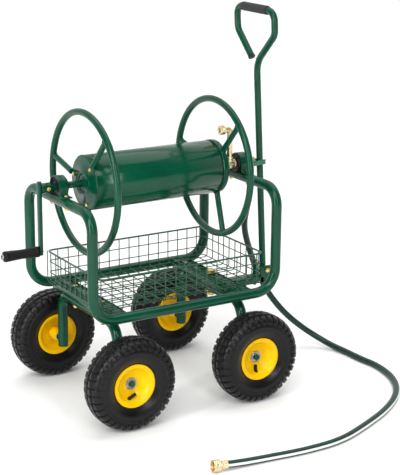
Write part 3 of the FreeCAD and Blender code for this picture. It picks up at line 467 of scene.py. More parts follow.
# ---- weld beads on the reel
# Each spoke is welded to its ring, and the front ones to the drum's cup all round. The beads
# are painted over.
def weld_bead(spot, way, radius, thickness):
    """A ring of weld round a tube."""
    pick()
    turning = Vector(way).to_track_quat("Z", "Y").to_euler()
    bpy.ops.mesh.primitive_torus_add(location=spot, rotation=turning, major_radius=radius,
                                     minor_radius=thickness, major_segments=28, minor_segments=8)
    bpy.ops.object.shade_smooth()
    return bpy.context.object


reel_phase = math.radians(13)
bead_radius = 0.0082
ring_weld = 0.1830
drum_weld = 0.0765
beads = []
for end in ("rear", "front"):
    low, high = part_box(end + "_ring")
    hub = Vector(((low.x + high.x) / 2, 0, shaft_height))
    for k in range(3):
        turn = reel_phase + k * math.tau / 3
        spoke = Vector((0, math.cos(turn), math.sin(turn)))
        beads.append(weld_bead(hub + spoke * ring_weld, spoke, bead_radius, 0.0016))
        if end == "front":
            beads.append(weld_bead(hub + spoke * drum_weld, spoke, bead_radius, 0.0012))
joined("spoke_weld_beads", beads)
settle(beads[0], "reel", "green_powder_coat", green_paint)


# ---- crank arm
# A square bar with rounded ends and eased edges, welded to a collar that is cross-bolted to
# the end of the shaft.
def bar_block(name, low, high, edge, ends=0):
    """A solid bar between two corners, with its edges eased and its upright ends rounded."""
    pick()
    bpy.ops.mesh.primitive_cube_add(size=1, location=(Vector(low) + Vector(high)) / 2,
                                    scale=Vector(high) - Vector(low))
    bar = bpy.context.object
    bar.name = name
    bpy.ops.object.transform_apply(location=False, rotation=False, scale=True)
    if ends:
        bpy.ops.object.mode_set(mode="EDIT")
        bpy.ops.mesh.select_all(action="DESELECT")
        shape = bmesh.from_edit_mesh(bar.data)
        for line in shape.edges:
            one, two = (corner.co for corner in line.verts)
            line.select_set(abs(one.y - two.y) < 1e-6 and abs(one.z - two.z) < 1e-6)
        bmesh.update_edit_mesh(bar.data)
        bpy.ops.mesh.bevel(offset=ends, segments=8)
        bpy.ops.object.mode_set(mode="OBJECT")
    ease_edges(bar, edge)
    return bar


crank_low, crank_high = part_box("crank_arm")
crank_thick = 0.009
crank_bar = bar_block("crank_bar", (crank_low.x, -0.0075, crank_low.z),
                      (crank_low.x + crank_thick, 0.0075, shaft_height + 0.020), 0.0009, 0.0068)
collar_end = crank_high.x - crank_low.x
collar_outline = [(crank_thick, 0.0096), (crank_thick - 0.001, 0.0140), (collar_end - 0.001, 0.0140),
                  (collar_end, 0.0130), (collar_end, 0.0096), (crank_thick, 0.0096)]
collar = turn_on_lathe("crank_collar", collar_outline, (crank_low.x, 0, shaft_height), (1, 0, 0), 48, 0.0003)
bead = weld_bead((crank_low.x + crank_thick, 0, shaft_height), (1, 0, 0), 0.0139, 0.0014)
joined("welded_crank", [crank_bar, collar, bead])
settle(crank_bar, "reel", "green_powder_coat", green_paint, "crank_arm")


# ---- tongue and clevis
# A bar welded under the steered beam, with two upright ears for the pull handle's bolt. Bar
# and ears are cut from mild steel and painted with the axle.
tongue_low, tongue_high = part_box("tongue_clevis")
ear_thick = 0.005
tongue_top = tongue_low.z + 0.018
tongue = bar_block("tongue_bar", (tongue_low.x, tongue_low.y, tongue_low.z),
                   (tongue_high.x - 0.022, tongue_high.y, tongue_top), 0.0012)
ears = []
for side_low in (tongue_low.y, tongue_high.y - ear_thick):
    ears.append(bar_block("clevis_ear", (tongue_high.x - 0.034, side_low, tongue_low.z),
                          (tongue_high.x, side_low + ear_thick, tongue_high.z), 0.0008))
joined("welded_tongue_clevis", [tongue] + ears)
settle(tongue, "steered_axle", "green_powder_coat", green_paint, "tongue_clevis")


# ---- handle keeper clip
# Two spring steel strips on the front bearing strap that grip the upright handle, powder
# coated in a paler green.
clip_paint = powder_coat("pale_green_powder_coat", "#2a664c", "#3a7a5d", 0.2)
clip_low, clip_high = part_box("handle_clip")
clip_line = [(0.0013, 0.0300), (0.0013, 0.0200), (0.0028, 0.0180), (0.0050, 0.0172), (0.0385, 0.0172),
             (0.0425, 0.0145), (0.0475, 0.0111), (0.0670, 0.0111), (0.0700, 0.0082)]
arms = []
for side in (-1, 1):
    spots = [(clip_low.x + x, side * y, clip_low.z) for x, y in clip_line]
    arms.append(press_strip("clip_arm", spots, (0, 0, clip_high.z - clip_low.z), 0.0023, 0.0004))
joined("spring_handle_clip", arms)
settle(arms[0], "frame", "green_powder_coat", clip_paint, "handle_clip")


# ---- bolts, nuts, washers and cotter pins
# Steel fasteners: the bolts are zinc plated with a yellow passivate that shifts to pink, the
# washers and cotter pins are bright zinc.
def zinc_plate(name, colours):
    """Electroplated zinc: a soft metal sheen with cloudy passivate colours."""
    material, tree, on_piece = new_material(name)
    cloud = add_node(tree, "TexNoise", {"Scale": 110, "Detail": 3}, on_piece)
    stops = [(0.3 + 0.4 * i / (len(colours) - 1), linear(c)) for i, c in enumerate(colours)]
    tone = add_node(tree, "ValToRGB", {"stops": stops}, {"Fac": cloud})
    grain = add_node(tree, "TexNoise", {"Scale": 1300, "Detail": 2}, on_piece)
    relief = add_node(tree, "Bump", {"Strength": 0.15, "Distance": 0.0001}, {"Height": grain})
    finish_material(tree, {"Metallic": 1.0, "Roughness": 0.3}, {"Base Color": tone, "Normal": relief})
    return material


yellow_zinc = zinc_plate("yellow_zinc_plate", ("#c98f4e", "#e8c873", "#f0dca0"))
bright_zinc = zinc_plate("bright_zinc_plate", ("#8d8a86", "#c4c3c1"))


def hexagon(spot, way, corner, height):
    """A bolt head or a nut that stands on a spot, with eased corners and a turned face."""
    way = Vector(way).normalized()
    turning = way.to_track_quat("Z", "Y").to_euler()
    depth = height - 0.0003
    pick()
    bpy.ops.mesh.primitive_cylinder_add(vertices=6, radius=corner, depth=depth,
                                        location=Vector(spot) + way * depth / 2, rotation=turning)
    block = bpy.context.object
    ease_edges(block, corner * 0.09)
    bpy.ops.mesh.primitive_cylinder_add(vertices=32, radius=corner * 0.8, depth=0.0008,
                                        location=Vector(spot) + way * (height - 0.0004), rotation=turning)
    face = bpy.context.object
    ease_edges(face, 0.0002)
    return joined("hexagon", [block, face])


def shank(spot, way, radius, length):
    """A bolt's shank from a spot, with a chamfered end."""
    rod = turn_on_lathe("shank", [(0, 0), (0, radius), (length - 0.001, radius), (length, radius * 0.8),
                                  (length, 0)], spot, way, 24)
    bpy.ops.object.shade_smooth_by_angle(angle=math.radians(30))
    return rod


def bolts(name, body, replaced, places):
    """Bolts, each given as (where the head sits, way its head faces, sizes, distance to the nut)."""
    made = []
    for spot, way, (radius, corner, head, nut), grip_run in places:
        spot, way = Vector(spot), Vector(way)
        made.append(hexagon(spot, way, corner, head))
        past_nut = nut_tail if nut else 0
        made.append(shank(spot, -way, radius, grip_run + nut + past_nut))
        if nut:
            made.append(hexagon(spot - way * grip_run, -way, corner, nut))
    joined(name, made)
    settle(made[0], body, "yellow_zinc_steel", yellow_zinc, replaced)


# Each size is the shank's radius, the hexagon's corner radius, and the head's and nut's heights.
nut_tail = 0.0015
small = (0.003, 0.0059, 0.0040, 0.0050)
middle_size = (0.004, 0.0074, 0.0053, 0.0065)
large = (0.008, 0.0122, 0.0085, 0.0095)
small_stud = small[:3] + (0,)
bolt_circle = 0.059
low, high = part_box("drum_plate_bolts")
places = []
for k in range(3):
    turn = reel_phase + k * math.tau / 3
    y, z = bolt_circle * math.cos(turn), shaft_height + bolt_circle * math.sin(turn)
    places.append(((low.x + small[2], y, z), (-1, 0, 0), small_stud, 0.016))
    places.append(((high.x - small[2], y, z), (1, 0, 0), small_stud, 0.016))
bolts("drum_plate_screws", "reel", "drum_plate_bolts", places)
low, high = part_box("strap_bolts")
run = high.z - low.z - small[2] - small[3] - nut_tail
places = [((x, side * 0.043, high.z - small[2]), (0, 0, 1), small, run)
          for x in (-0.250, 0.321) for side in (-1, 1)]
bolts("bearing_strap_bolts", "frame", "strap_bolts", places)
low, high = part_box("crank_cross_bolt")
bolts("crank_collar_bolt", "reel", "crank_cross_bolt",
      [(((low.x + high.x) / 2, low.y + small[2], shaft_height), (0, -1, 0), small, 0.028)])
low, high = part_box("rear_beam_bolts")
beam_x = (low.x + high.x) / 2
run = high.z - low.z - middle_size[2] - middle_size[3] - nut_tail
places = [((beam_x, y, high.z - middle_size[2]), (0, 0, 1), middle_size, run) for y in (-0.0825, 0.0825)]
bolts("rear_beam_bolts_and_nuts", "frame", "rear_beam_bolts", places)
low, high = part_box("handle_pivot_bolt")
pivot = Vector(((low.x + high.x) / 2, low.y + middle_size[2], (low.z + high.z) / 2))
bolts("clevis_bolt", "steered_axle", "handle_pivot_bolt", [(pivot, (0, -1, 0), middle_size, 0.044)])
low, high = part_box("king_pin")
king_x = ((low + high) / 2).x
king_run = high.z - low.z - large[2] - large[3] - nut_tail
king_head = low.z + large[2]
bolts("king_bolt", "frame", "king_pin", [((king_x, 0, king_head), (0, 0, -1), large, king_run)])
washer_thick = 0.0024
washer_outline = [(0, 0.0081), (0, 0.0148), (washer_thick, 0.0148), (washer_thick, 0.0081), (0, 0.0081)]
king_washer = turn_on_lathe("king_washer", washer_outline, (king_x, 0, king_head + king_run - washer_thick),
                            (0, 0, 1), 48, 0.0003)
settle(king_washer, "frame", "yellow_zinc_steel", yellow_zinc)


# ---- axle washers
# Dished washers pressed from steel strip and zinc plated. They stand a little off the hub,
# behind the cotter pins.
dish_outline = [(0.0043, 0.0081), (0.0043, 0.0160), (0.0052, 0.0167), (0.0066, 0.0167), (0.0073, 0.0158),
                (0.0070, 0.0146), (0.0056, 0.0136), (0.0054, 0.0112), (0.0066, 0.0104), (0.0073, 0.0098),
                (0.0073, 0.0081), (0.0043, 0.0081)]


def wheel_ends(end):
    """The centre of each wheel at one end of the cart, and which way is outward there."""
    for side, outward in (("near", -1), ("far", 1)):
        low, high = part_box("tyre_%s_%s" % (end, side))
        yield (low + high) / 2, outward


axle_bodies = {"rear": "frame", "front": "steered_axle"}
for end, body in axle_bodies.items():
    rings = [turn_on_lathe("washer", dish_outline, centre, (0, outward, 0), 48, 0.0002)
             for centre, outward in wheel_ends(end)]
    joined(end + "_dished_washers", rings)
    settle(rings[0], body, "bright_zinc_steel", bright_zinc, end + "_axle_washers")


# ---- split pins
# Half-round steel wire folded into an eye and two legs, zinc plated. Each goes through a hole
# in the axle's tip, and its legs are spread to hold it.
def draw_bar(name, start, heading, radius, moves, sides=8, closed=False):
    """Draw a round bar out of a disc: a move is a run, or (angle, radius, towards) for a bend."""
    way = Vector(heading).normalized()
    here = Vector(start)
    pick()
    bpy.ops.mesh.primitive_circle_add(vertices=sides, radius=radius, location=here,
                                      fill_type="NOTHING" if closed else "NGON",
                                      rotation=way.to_track_quat("Z", "Y").to_euler())
    bar = bpy.context.object
    bar.name = name
    bpy.ops.object.mode_set(mode="EDIT")
    bpy.ops.mesh.select_all(action="SELECT")
    for move in moves:
        if isinstance(move, (int, float)):
            bpy.ops.mesh.extrude_region_move(TRANSFORM_OT_translate={"value": way * move})
            here = here + way * move
            continue
        angle, bend, towards = move
        towards = Vector(towards).normalized()
        centre = here + towards * bend
        axis = way.cross(towards)
        steps = max(2, round(math.degrees(angle) / 18))
        bpy.ops.mesh.spin(steps=steps, angle=angle, center=centre, axis=-axis)
        turning = Matrix.Rotation(angle, 3, axis)
        here = centre + turning @ (here - centre)
        way = turning @ way
    bpy.ops.mesh.select_all(action="SELECT")
    bpy.ops.mesh.remove_doubles(threshold=1e-5)
    bpy.ops.mesh.normals_make_consistent(inside=False)
    bpy.ops.object.mode_set(mode="OBJECT")
    bpy.ops.object.shade_smooth_by_angle(angle=math.radians(50))
    return bar


def split_pin(centre, way, outward):
    """An eye and two half-round legs, the legs side by side along the axle."""
    way = Vector(way).normalized()
    along_axle = Vector((0, outward, 0))
    eye = centre - way * 0.0125
    legs = []
    for side in (-1, 1):
        start = eye + along_axle * side * pin_wire
        spread = [0.0215, (0.6, 0.006, along_axle * side), 0.003]
        legs.append(draw_bar("leg", start, way, pin_wire, spread))
    pick()
    bpy.ops.mesh.primitive_torus_add(location=eye - way * 0.0018, major_radius=0.0024, minor_radius=pin_wire,
                                     rotation=way.cross(along_axle).to_track_quat("Z", "Y").to_euler(),
                                     major_segments=24, minor_segments=8)
    bpy.ops.object.shade_smooth()
    return joined("split_pin", [bpy.context.object] + legs)


pin_wire = 0.0009
for end, body in axle_bodies.items():
    pins = [split_pin(centre + Vector((0, outward * 0.0105, 0)), (0.45, 0, -0.89), outward)
            for centre, outward in wheel_ends(end)]
    joined(end + "_split_pins", pins)
    settle(pins[0], body, "bright_zinc_steel", bright_zinc, end + "_cotter_pins")


# ---- hub bushings and handle spacers
# Natural nylon, turned or moulded, slightly see-through white. The bushings press into the
# hubs, and the spacers centre the handle between the clevis ears.
def nylon():
    """Unpigmented nylon: milky, with light scattered just under the skin."""
    material, tree, on_piece = new_material("natural_nylon")
    drift = add_node(tree, "TexNoise", {"Scale": 80, "Detail": 3}, on_piece)
    whites = [(0.3, linear("#dfdccf")), (0.7, linear("#f2f0e6"))]
    tone = add_node(tree, "ValToRGB", {"stops": whites}, {"Fac": drift})
    finish_material(tree, {"IOR": 1.53, "Roughness": 0.36, "Subsurface Weight": 0.15,
                           "Subsurface Scale": 0.002}, {"Base Color": tone})
    return material


white_nylon = nylon()
dress(white_nylon, "pivot_spacers", *[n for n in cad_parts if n.startswith("hub_bushings")])


# ---- tyres
# Pneumatic tyres, 254 mm over the tread, moulded in black rubber: four staggered rows of
# blocks, the outer ones running down on to the sidewalls, and two fine ribs below them.
def tyre_rubber():
    """Carbon black rubber: a dull black, a shade paler and duller where it blooms."""
    material, tree, on_piece = new_material("moulded_tyre_rubber")
    bloom = add_node(tree, "TexNoise", {"Scale": 26, "Detail": 6}, on_piece)
    blacks = [(0.3, linear("#020203")), (0.8, linear("#0a0a0b"))]
    tone = add_node(tree, "ValToRGB", {"stops": blacks}, {"Fac": bloom})
    pores = add_node(tree, "TexNoise", {"Scale": 700, "Detail": 3}, on_piece)
    relief = add_node(tree, "Bump", {"Strength": 0.25, "Distance": 0.0003}, {"Height": pores})
    sheen = add_node(tree, "ValToRGB", {"stops": [(0.3, grey(0.30)), (0.8, grey(0.45))]},
                     {"Fac": bloom})
    finish_material(tree, {"IOR": 1.36, "Sheen Weight": 0.02, "Sheen Roughness": 0.4},
                    {"Base Color": tone, "Roughness": sheen, "Normal": relief})
    return material


rubber = tyre_rubber()
tyre_low, tyre_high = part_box("tyre_rear_near")
wheel_centre = (tyre_low + tyre_high) / 2
pitches = 36
steps_per_pitch = 6
block_height = 0.0044
tread_half = [(0.0026, 0.1226), (0.0090, 0.1225), (0.0158, 0.1219), (0.0203, 0.1207), (0.0266, 0.1180),
              (0.0320, 0.1143), (0.0348, 0.1088), (0.0366, 0.1040), (0.0379, 0.0995), (0.0383, 0.0980),
              (0.0387, 0.0967), (0.0391, 0.0952), (0.0395, 0.0939), (0.0401, 0.0900), (0.0400, 0.0860),
              (0.0391, 0.0805), (0.0370, 0.0750), (0.0337, 0.0695), (0.0302, 0.0650), (0.0280, 0.0625),
              (0.0266, 0.0605), (0.0266, 0.0540), (0.0255, 0.0515), (0.0200, 0.0512)]
air_half = [(0.0200, 0.0580), (0.0280, 0.0700), (0.0340, 0.0900), (0.0300, 0.1060), (0.0180, 0.1160)]
tyre_half = tread_half + air_half
tyre_outline = [(-y, r) for y, r in reversed(tyre_half)] + tyre_half
tyre_outline.append(tyre_outline[0])
first_tyre = turn_on_lathe("tyre", tyre_outline, wheel_centre, (0, 1, 0), pitches * steps_per_pitch)


def on_block(spot, normal):
    """The tread's staggered blocks: a long one each side of the middle and a shoulder one."""
    spot = spot - wheel_centre
    radius = math.hypot(spot.x, spot.z)
    if radius < 0.0938 or normal.dot(Vector((spot.x, spot.y * 2, spot.z))) < 0:
        return False
    step = math.floor(math.degrees(math.atan2(spot.z, spot.x)) / 360 * pitches * steps_per_pitch)
    stagger = 3 if spot.y < 0 else 0
    edge = abs(spot.y)
    inner_block = 0.0026 < edge < 0.0158 and (step + stagger) % steps_per_pitch < 5
    outer_block = 0.0203 < edge and radius > 0.1060 and (step + stagger + 1) % steps_per_pitch < 4
    return inner_block or outer_block


def on_rib(spot, normal):
    """The two fine ribs round each sidewall."""
    spot = spot - wheel_centre
    radius = math.hypot(spot.x, spot.z)
    return abs(spot.y) > 0.0375 and (0.0967 < radius < 0.0980 or 0.0939 < radius < 0.0952)


bpy.ops.object.mode_set(mode="EDIT")
for raised, height in ((on_block, block_height), (on_rib, 0.0006)):
    select_faces(first_tyre, raised)
    bpy.ops.mesh.extrude_region_shrink_fatten(TRANSFORM_OT_shrink_fatten={"value": height})
bpy.ops.object.mode_set(mode="OBJECT")
ease_edges(first_tyre, 0.0004, 1, 40)


def fit_wheels(first, name, slot, material, node):
    """Put a copy of the rear near wheel's piece on each wheel, turned round on the far side."""
    for wheel in wheels:
        low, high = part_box("tyre_" + wheel)
        turn = math.pi if wheel.endswith("far") else 0
        to_wheel = (Matrix.Translation((low + high) / 2) @ Matrix.Rotation(turn, 4, "Z")
                    @ Matrix.Translation(-wheel_centre))
        twin = first.copy()
        twin.data = first.data.copy()
        twin.name = name + wheel
        bpy.context.scene.collection.objects.link(twin)
        twin.data.transform(to_wheel @ first.matrix_world)
        twin.matrix_world = Matrix.Identity(4)
        settle(twin, wheel + "_wheel", slot, material, node + wheel)
    bpy.data.objects.remove(first)


wheels = ("rear_near", "rear_far", "front_near", "front_far")
fit_wheels(first_tyre, "block_tread_tyre_", "tyre_rubber", rubber, "tyre_")


# ---- rims
# Two pressed steel halves with a rolled edge, joined at a dished disc round a welded hub
# tube, powder coated bright yellow.
yellow_paint = powder_coat("yellow_powder_coat", "#e8b400", "#f4c700", 0.22, 0.25)
rim_outline = [(-0.0480, 0.0140), (0.0040, 0.0140), (0.0040, 0.0168), (0.0036, 0.0176), (0.0042, 0.0215),
               (0.0056, 0.0250), (0.0066, 0.0262), (0.0094, 0.0320), (0.0128, 0.0372), (0.0165, 0.0412),
               (0.0205, 0.0443), (0.0240, 0.0464), (0.0264, 0.0488), (0.0282, 0.0520), (0.0291, 0.0560),
               (0.0291, 0.0592), (0.0286, 0.0602), (0.0277, 0.0606), (0.0270, 0.0600), (0.0269, 0.0560),
               (0.0267, 0.0509), (0.0150, 0.0507), (0.0110, 0.0436), (-0.0110, 0.0436), (-0.0150, 0.0507),
               (-0.0267, 0.0509), (-0.0269, 0.0600), (-0.0277, 0.0606), (-0.0286, 0.0602), (-0.0291, 0.0570),
               (-0.0284, 0.0530), (-0.0250, 0.0490), (-0.0190, 0.0460), (-0.0085, 0.0395), (-0.0022, 0.0300),
               (-0.0022, 0.0176), (-0.0480, 0.0172), (-0.0480, 0.0140)]
first_rim = turn_on_lathe("rim", rim_outline, wheel_centre, (0, -1, 0), 96)
ease_edges(first_rim, 0.0006, 2, 40)
fit_wheels(first_rim, "pressed_rim_", "yellow_powder_coat", yellow_paint, "rim_")


# ---- tyre valves
# A moulded rubber stem comes through the well of each rim and leans out over the disc, with
# a threaded neck and a ribbed plastic cap.
valve_outline = [(-0.004, 0.0), (-0.004, 0.0066), (0.0, 0.0066), (0.0016, 0.0054), (0.0100, 0.0044),
                 (0.0106, 0.0032), (0.0124, 0.0032), (0.0126, 0.0046), (0.0132, 0.0048), (0.0238, 0.0046),
                 (0.0250, 0.0038), (0.0250, 0.0)]
valve_feet = {"rear_near": (-0.0123, -0.0401), "front_near": (-0.0030, -0.0410),
              "rear_far": (0.030, 0.028), "front_far": (-0.034, 0.023)}
valve_leans = {"rear_near": (0.0174, 0.0146), "front_near": (-0.006, 0.0215),
               "rear_far": (-0.016, -0.015), "front_far": (0.018, -0.012)}
for wheel in wheels:
    low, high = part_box("tyre_" + wheel)
    outward = 1 if wheel.endswith("far") else -1
    x, z = valve_feet[wheel]
    lean_x, lean_z = valve_leans[wheel]
    foot = (low + high) / 2 + Vector((x, outward * 0.0125, z))
    lean = (lean_x, outward * 0.008, lean_z)
    valve = turn_on_lathe("tyre_valve_" + wheel, valve_outline, foot, lean, 24, 0.0003)
    settle(valve, wheel + "_wheel", "black_plastic", black_plastic)


# ---- wire basket
# Welded steel wire dipped in green vinyl: wires bent up out of the floor into the sides,
# two level wires round the sides and a thicker one round the mouth.
def dipped_wire():
    """Vinyl dip over wire: thicker and softer than paint, with slow sags along the wire."""
    material, tree, on_piece = new_material("vinyl_dipped_wire")
    sag = add_node(tree, "TexNoise", {"Scale": 160, "Detail": 2}, on_piece)
    greens = [(0.3, linear("#0a3c28")), (0.7, linear("#14563b"))]
    tone = add_node(tree, "ValToRGB", {"stops": greens}, {"Fac": sag})
    relief = add_node(tree, "Bump", {"Strength": 0.3, "Distance": 0.0003}, {"Height": sag})
    finish_material(tree, {"IOR": 1.5, "Roughness": 0.3, "Coat Weight": 0.3, "Coat Roughness": 0.2},
                    {"Base Color": tone, "Normal": relief})
    return material


green_wire = dipped_wire()
low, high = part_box("wire_basket")
wire = 0.0015
mouth_wire = 0.0026
bend = 0.009
level = low.z + wire
top = high.z - mouth_wire
wire_pitch = 0.0326
quarter = math.pi / 2
rise = top - level - bend
across_run = high.y - low.y - 2 * wire - 2 * bend
moves = [rise, (quarter, bend, (0, 1, 0)), across_run, (quarter, bend, (0, 0, 1)), rise]
wires = []
for k in range(-14, 2):
    start = (king_x + (k + 0.5) * wire_pitch, low.y + wire, top)
    wires.append(draw_bar("cross_wire", start, (0, 0, -1), wire, moves))
joined("basket_cross_wires", wires)
settle(wires[0], "frame", "coated_wire", green_wire, "wire_basket")

rise = top - level - 2 * wire - bend
along_run = high.x - low.x - 2 * wire - 2 * bend
wires = []
for y in (0.0155, 0.0455, 0.0735, 0.105, 0.136):
    for side in (-1, 1):
        start = (low.x + wire, side * y, top)
        moves = [rise, (quarter, bend, (1, 0, 0)), along_run, (quarter, bend, (0, 0, 1)), rise]
        wires.append(draw_bar("long_wire", start, (0, 0, -1), wire, moves))
joined("basket_long_wires", wires)
settle(wires[0], "frame", "coated_wire", green_wire)


def level_loop(name, z, radius, inset, corner):
    """A rounded oblong of wire round the basket."""
    x0, x1 = low.x + inset, high.x - inset
    y0, y1 = low.y + inset, high.y - inset
    long_run, short_run = x1 - x0 - 2 * corner, y1 - y0 - 2 * corner
    return draw_bar(name, (x0 + corner, y0, z), (1, 0, 0), radius,
                    [long_run, (quarter, corner, (0, 1, 0)), short_run, (quarter, corner, (-1, 0, 0)),
                     long_run, (quarter, corner, (0, -1, 0)), short_run, (quarter, corner, (1, 0, 0))],
                    closed=True)


loops = [level_loop("level_wire", z, wire, 3 * wire, 0.014) for z in (0.3365, 0.3685)]
loops.append(level_loop("floor_wire", level + 0.006, wire, 3 * wire, 0.014))
joined("basket_level_wires", loops)
settle(loops[0], "frame", "coated_wire", green_wire)
mouth = level_loop("basket_mouth_wire", high.z - mouth_wire, mouth_wire, mouth_wire, 0.016)
settle(mouth, "frame", "coated_wire", green_wire)


# ---- crank grip
# A sleeve moulded in black plastic, with a swollen end at each side and fine rings between.
# It is free on its axle.
low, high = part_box("crank_grip")
grip_axis = Vector((high.x, 0, (low.z + high.z) / 2))
length = high.x - low.x
grip_outline = [(0.0, 0.0051), (0.0, 0.0115), (0.0012, 0.0140), (0.0050, 0.0149), (0.0085, 0.0146)]
rings = 26
for k in range(rings):
    start = 0.011 + k * (length - 0.024) / rings
    swell = 0.0137 + 0.0008 * math.cos(math.tau * k / rings)
    grip_outline += [(start, swell), (start + 0.0008, swell - 0.0005), (start + 0.0018, swell - 0.0005)]
grip_outline += [(length - 0.0110, 0.0146), (length - 0.0050, 0.0148), (length - 0.0015, 0.0135),
                 (length, 0.0105), (length, 0.0051), (0.0, 0.0051)]
grip = turn_on_lathe("ribbed_crank_grip", grip_outline, grip_axis, (-1, 0, 0), 56, 0.0002)
settle(grip, "crank_handle", "black_plastic", black_plastic, "crank_grip")


# ---- crank grip pin
# A plated steel pin riveted into the arm, with a washer against the grip at each end; its
# outer tip was painted with the arm.
pin_low, pin_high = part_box("grip_axle")
pin_length = pin_high.x - pin_low.x
pin_tip = Vector((pin_low.x, 0, grip_axis.z))
gap = high.x - pin_low.x
pin_outline = [(0.0010, 0.0), (0.0010, 0.0055), (0.0016, 0.0074), (0.0035, 0.0079), (0.0048, 0.0079),
               (0.0053, 0.0074), (0.0053, 0.0049), (gap + 0.0001, 0.0049), (gap + 0.0001, 0.0096),
               (gap + 0.0009, 0.0096), (gap + 0.0009, 0.0049), (pin_length - 0.0005, 0.0049),
               (pin_length, 0.0044), (pin_length, 0.0)]
pin = turn_on_lathe("plated_grip_pin", pin_outline, pin_tip, (1, 0, 0), 40, 0.0002)
settle(pin, "reel", "bright_zinc_steel", bright_zinc, "grip_axle")
tip_outline = [(0.0, 0.0), (0.0, 0.0030), (0.0006, 0.0045), (0.0016, 0.0050), (0.0016, 0.0)]
tip = turn_on_lathe("painted_pin_tip", tip_outline, pin_tip, (1, 0, 0), 32)
bpy.ops.object.shade_smooth_by_angle(angle=math.radians(50))
settle(tip, "reel", "green_powder_coat", green_paint)


# ---- pull handle sleeve
# A closed-cell foam tube pushed over the top of the handle loop. It is cut square and its ends
# are eased by wear.
def closed_cell_foam():
    """Black nitrile foam: matt, with a skin of small burst cells."""
    material, tree, on_piece = new_material("closed_cell_foam")
    cells = add_node(tree, "TexVoronoi", {"Scale": 750}, on_piece)
    blacks = [(0.1, linear("#161718")), (0.6, linear("#2d2e2f"))]
    tone = add_node(tree, "ValToRGB", {"stops": blacks}, {"Fac": cells})
    relief = add_node(tree, "Bump", {"Strength": 0.5, "Distance": 0.0005}, {"Height": cells})
    finish_material(tree, {"IOR": 1.45, "Roughness": 0.85, "Sheen Weight": 0.05},
                    {"Base Color": tone, "Normal": relief})
    return material


foam = closed_cell_foam()
low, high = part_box("foam_grip")
middle = (low + high) / 2
half = (high.y - low.y) / 2
sleeve_outline = [(-half, 0.0096), (-half, 0.0112), (-half + 0.0012, 0.0122), (-half + 0.004, 0.0125),
                  (-half * 0.4, 0.0126), (half * 0.4, 0.0126), (half - 0.004, 0.0125),
                  (half - 0.0012, 0.0122), (half, 0.0112), (half, 0.0096), (-half, 0.0096)]
sleeve = turn_on_lathe("foam_sleeve", sleeve_outline, middle, (0, 1, 0), 56, 0.0006, 2)
settle(sleeve, "pull_handle", "foam_rubber", foam, "foam_grip")


# ---- brass water way
# A cast swivel elbow at the inlet, and on the shaft a brass hub with a bent outlet pipe that
# ends in a flanged hose thread.
cast_brass = brass("cast_brass", 1.6)
tee_low, tee_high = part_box("outlet_hub")
pipe_low, pipe_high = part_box("outlet_pipe")
outlet_x = pipe_high.x - 0.0075
pipe_radius = 0.0084
outlet_height = pipe_high.z - 0.0132
tee_outline = [(0.0, 0.0), (0.0, 0.0112), (0.0010, 0.0125), (0.0045, 0.0125), (0.0055, 0.0115),
               (0.0070, 0.0115), (0.0080, 0.0134), (0.0225, 0.0134), (0.0240, 0.0118), (0.0262, 0.0118),
               (0.0272, 0.0130), (0.0290, 0.0130), (0.0295, 0.0122), (0.0295, 0.0095),
               (tee_high.x - tee_low.x, 0.0095), (tee_high.x - tee_low.x, 0.0)]
tee = turn_on_lathe("cast_tee", tee_outline, (tee_low.x, 0, shaft_height), (1, 0, 0), 48, 0.0005, 2)
branch_outline = [(0.0, 0.0), (0.0, 0.0110), (0.0125, 0.0110), (0.0135, 0.0100), (0.0150, 0.0100),
                  (0.0158, 0.0108), (0.0190, 0.0108), (0.0200, 0.0095), (0.0200, 0.0)]
branch = turn_on_lathe("tee_branch", branch_outline, (outlet_x, 0, shaft_height), (0, 0, 1), 48, 0.0004, 2)
joined("cast_outlet_tee", [tee, branch])
settle(tee, "reel", "brass", cast_brass, "outlet_hub")

elbow_bend = 0.0095
nozzle_start = pipe_low.x + 0.018
pipe_foot = shaft_height + 0.0125
rise = outlet_height - pipe_foot - elbow_bend
pipe = draw_bar("pipe", (outlet_x, 0, pipe_foot), (0, 0, 1), pipe_radius,
                [rise, (quarter, elbow_bend, (-1, 0, 0)), outlet_x - elbow_bend - nozzle_start], 28)
thread = [(-0.0010, 0.0), (-0.0010, 0.0086), (0.0020, 0.0090), (0.0040, 0.0128), (0.0046, 0.0131)]
for start in (0.0062, 0.0087, 0.0112, 0.0137):
    thread += [(start, 0.0131), (start + 0.0006, 0.0119), (start + 0.0016, 0.0119), (start + 0.0022, 0.0131)]
thread += [(0.0172, 0.0131), (0.0180, 0.0122), (0.0180, 0.0072), (0.0170, 0.0060), (0.0060, 0.0060),
           (0.0060, 0.0)]
nozzle = turn_on_lathe("nozzle", thread, (nozzle_start, 0, outlet_height), (-1, 0, 0), 56, 0.0003)
joined("bent_outlet_pipe", [pipe, nozzle])
settle(pipe, "reel", "brass", cast_brass, "outlet_pipe")

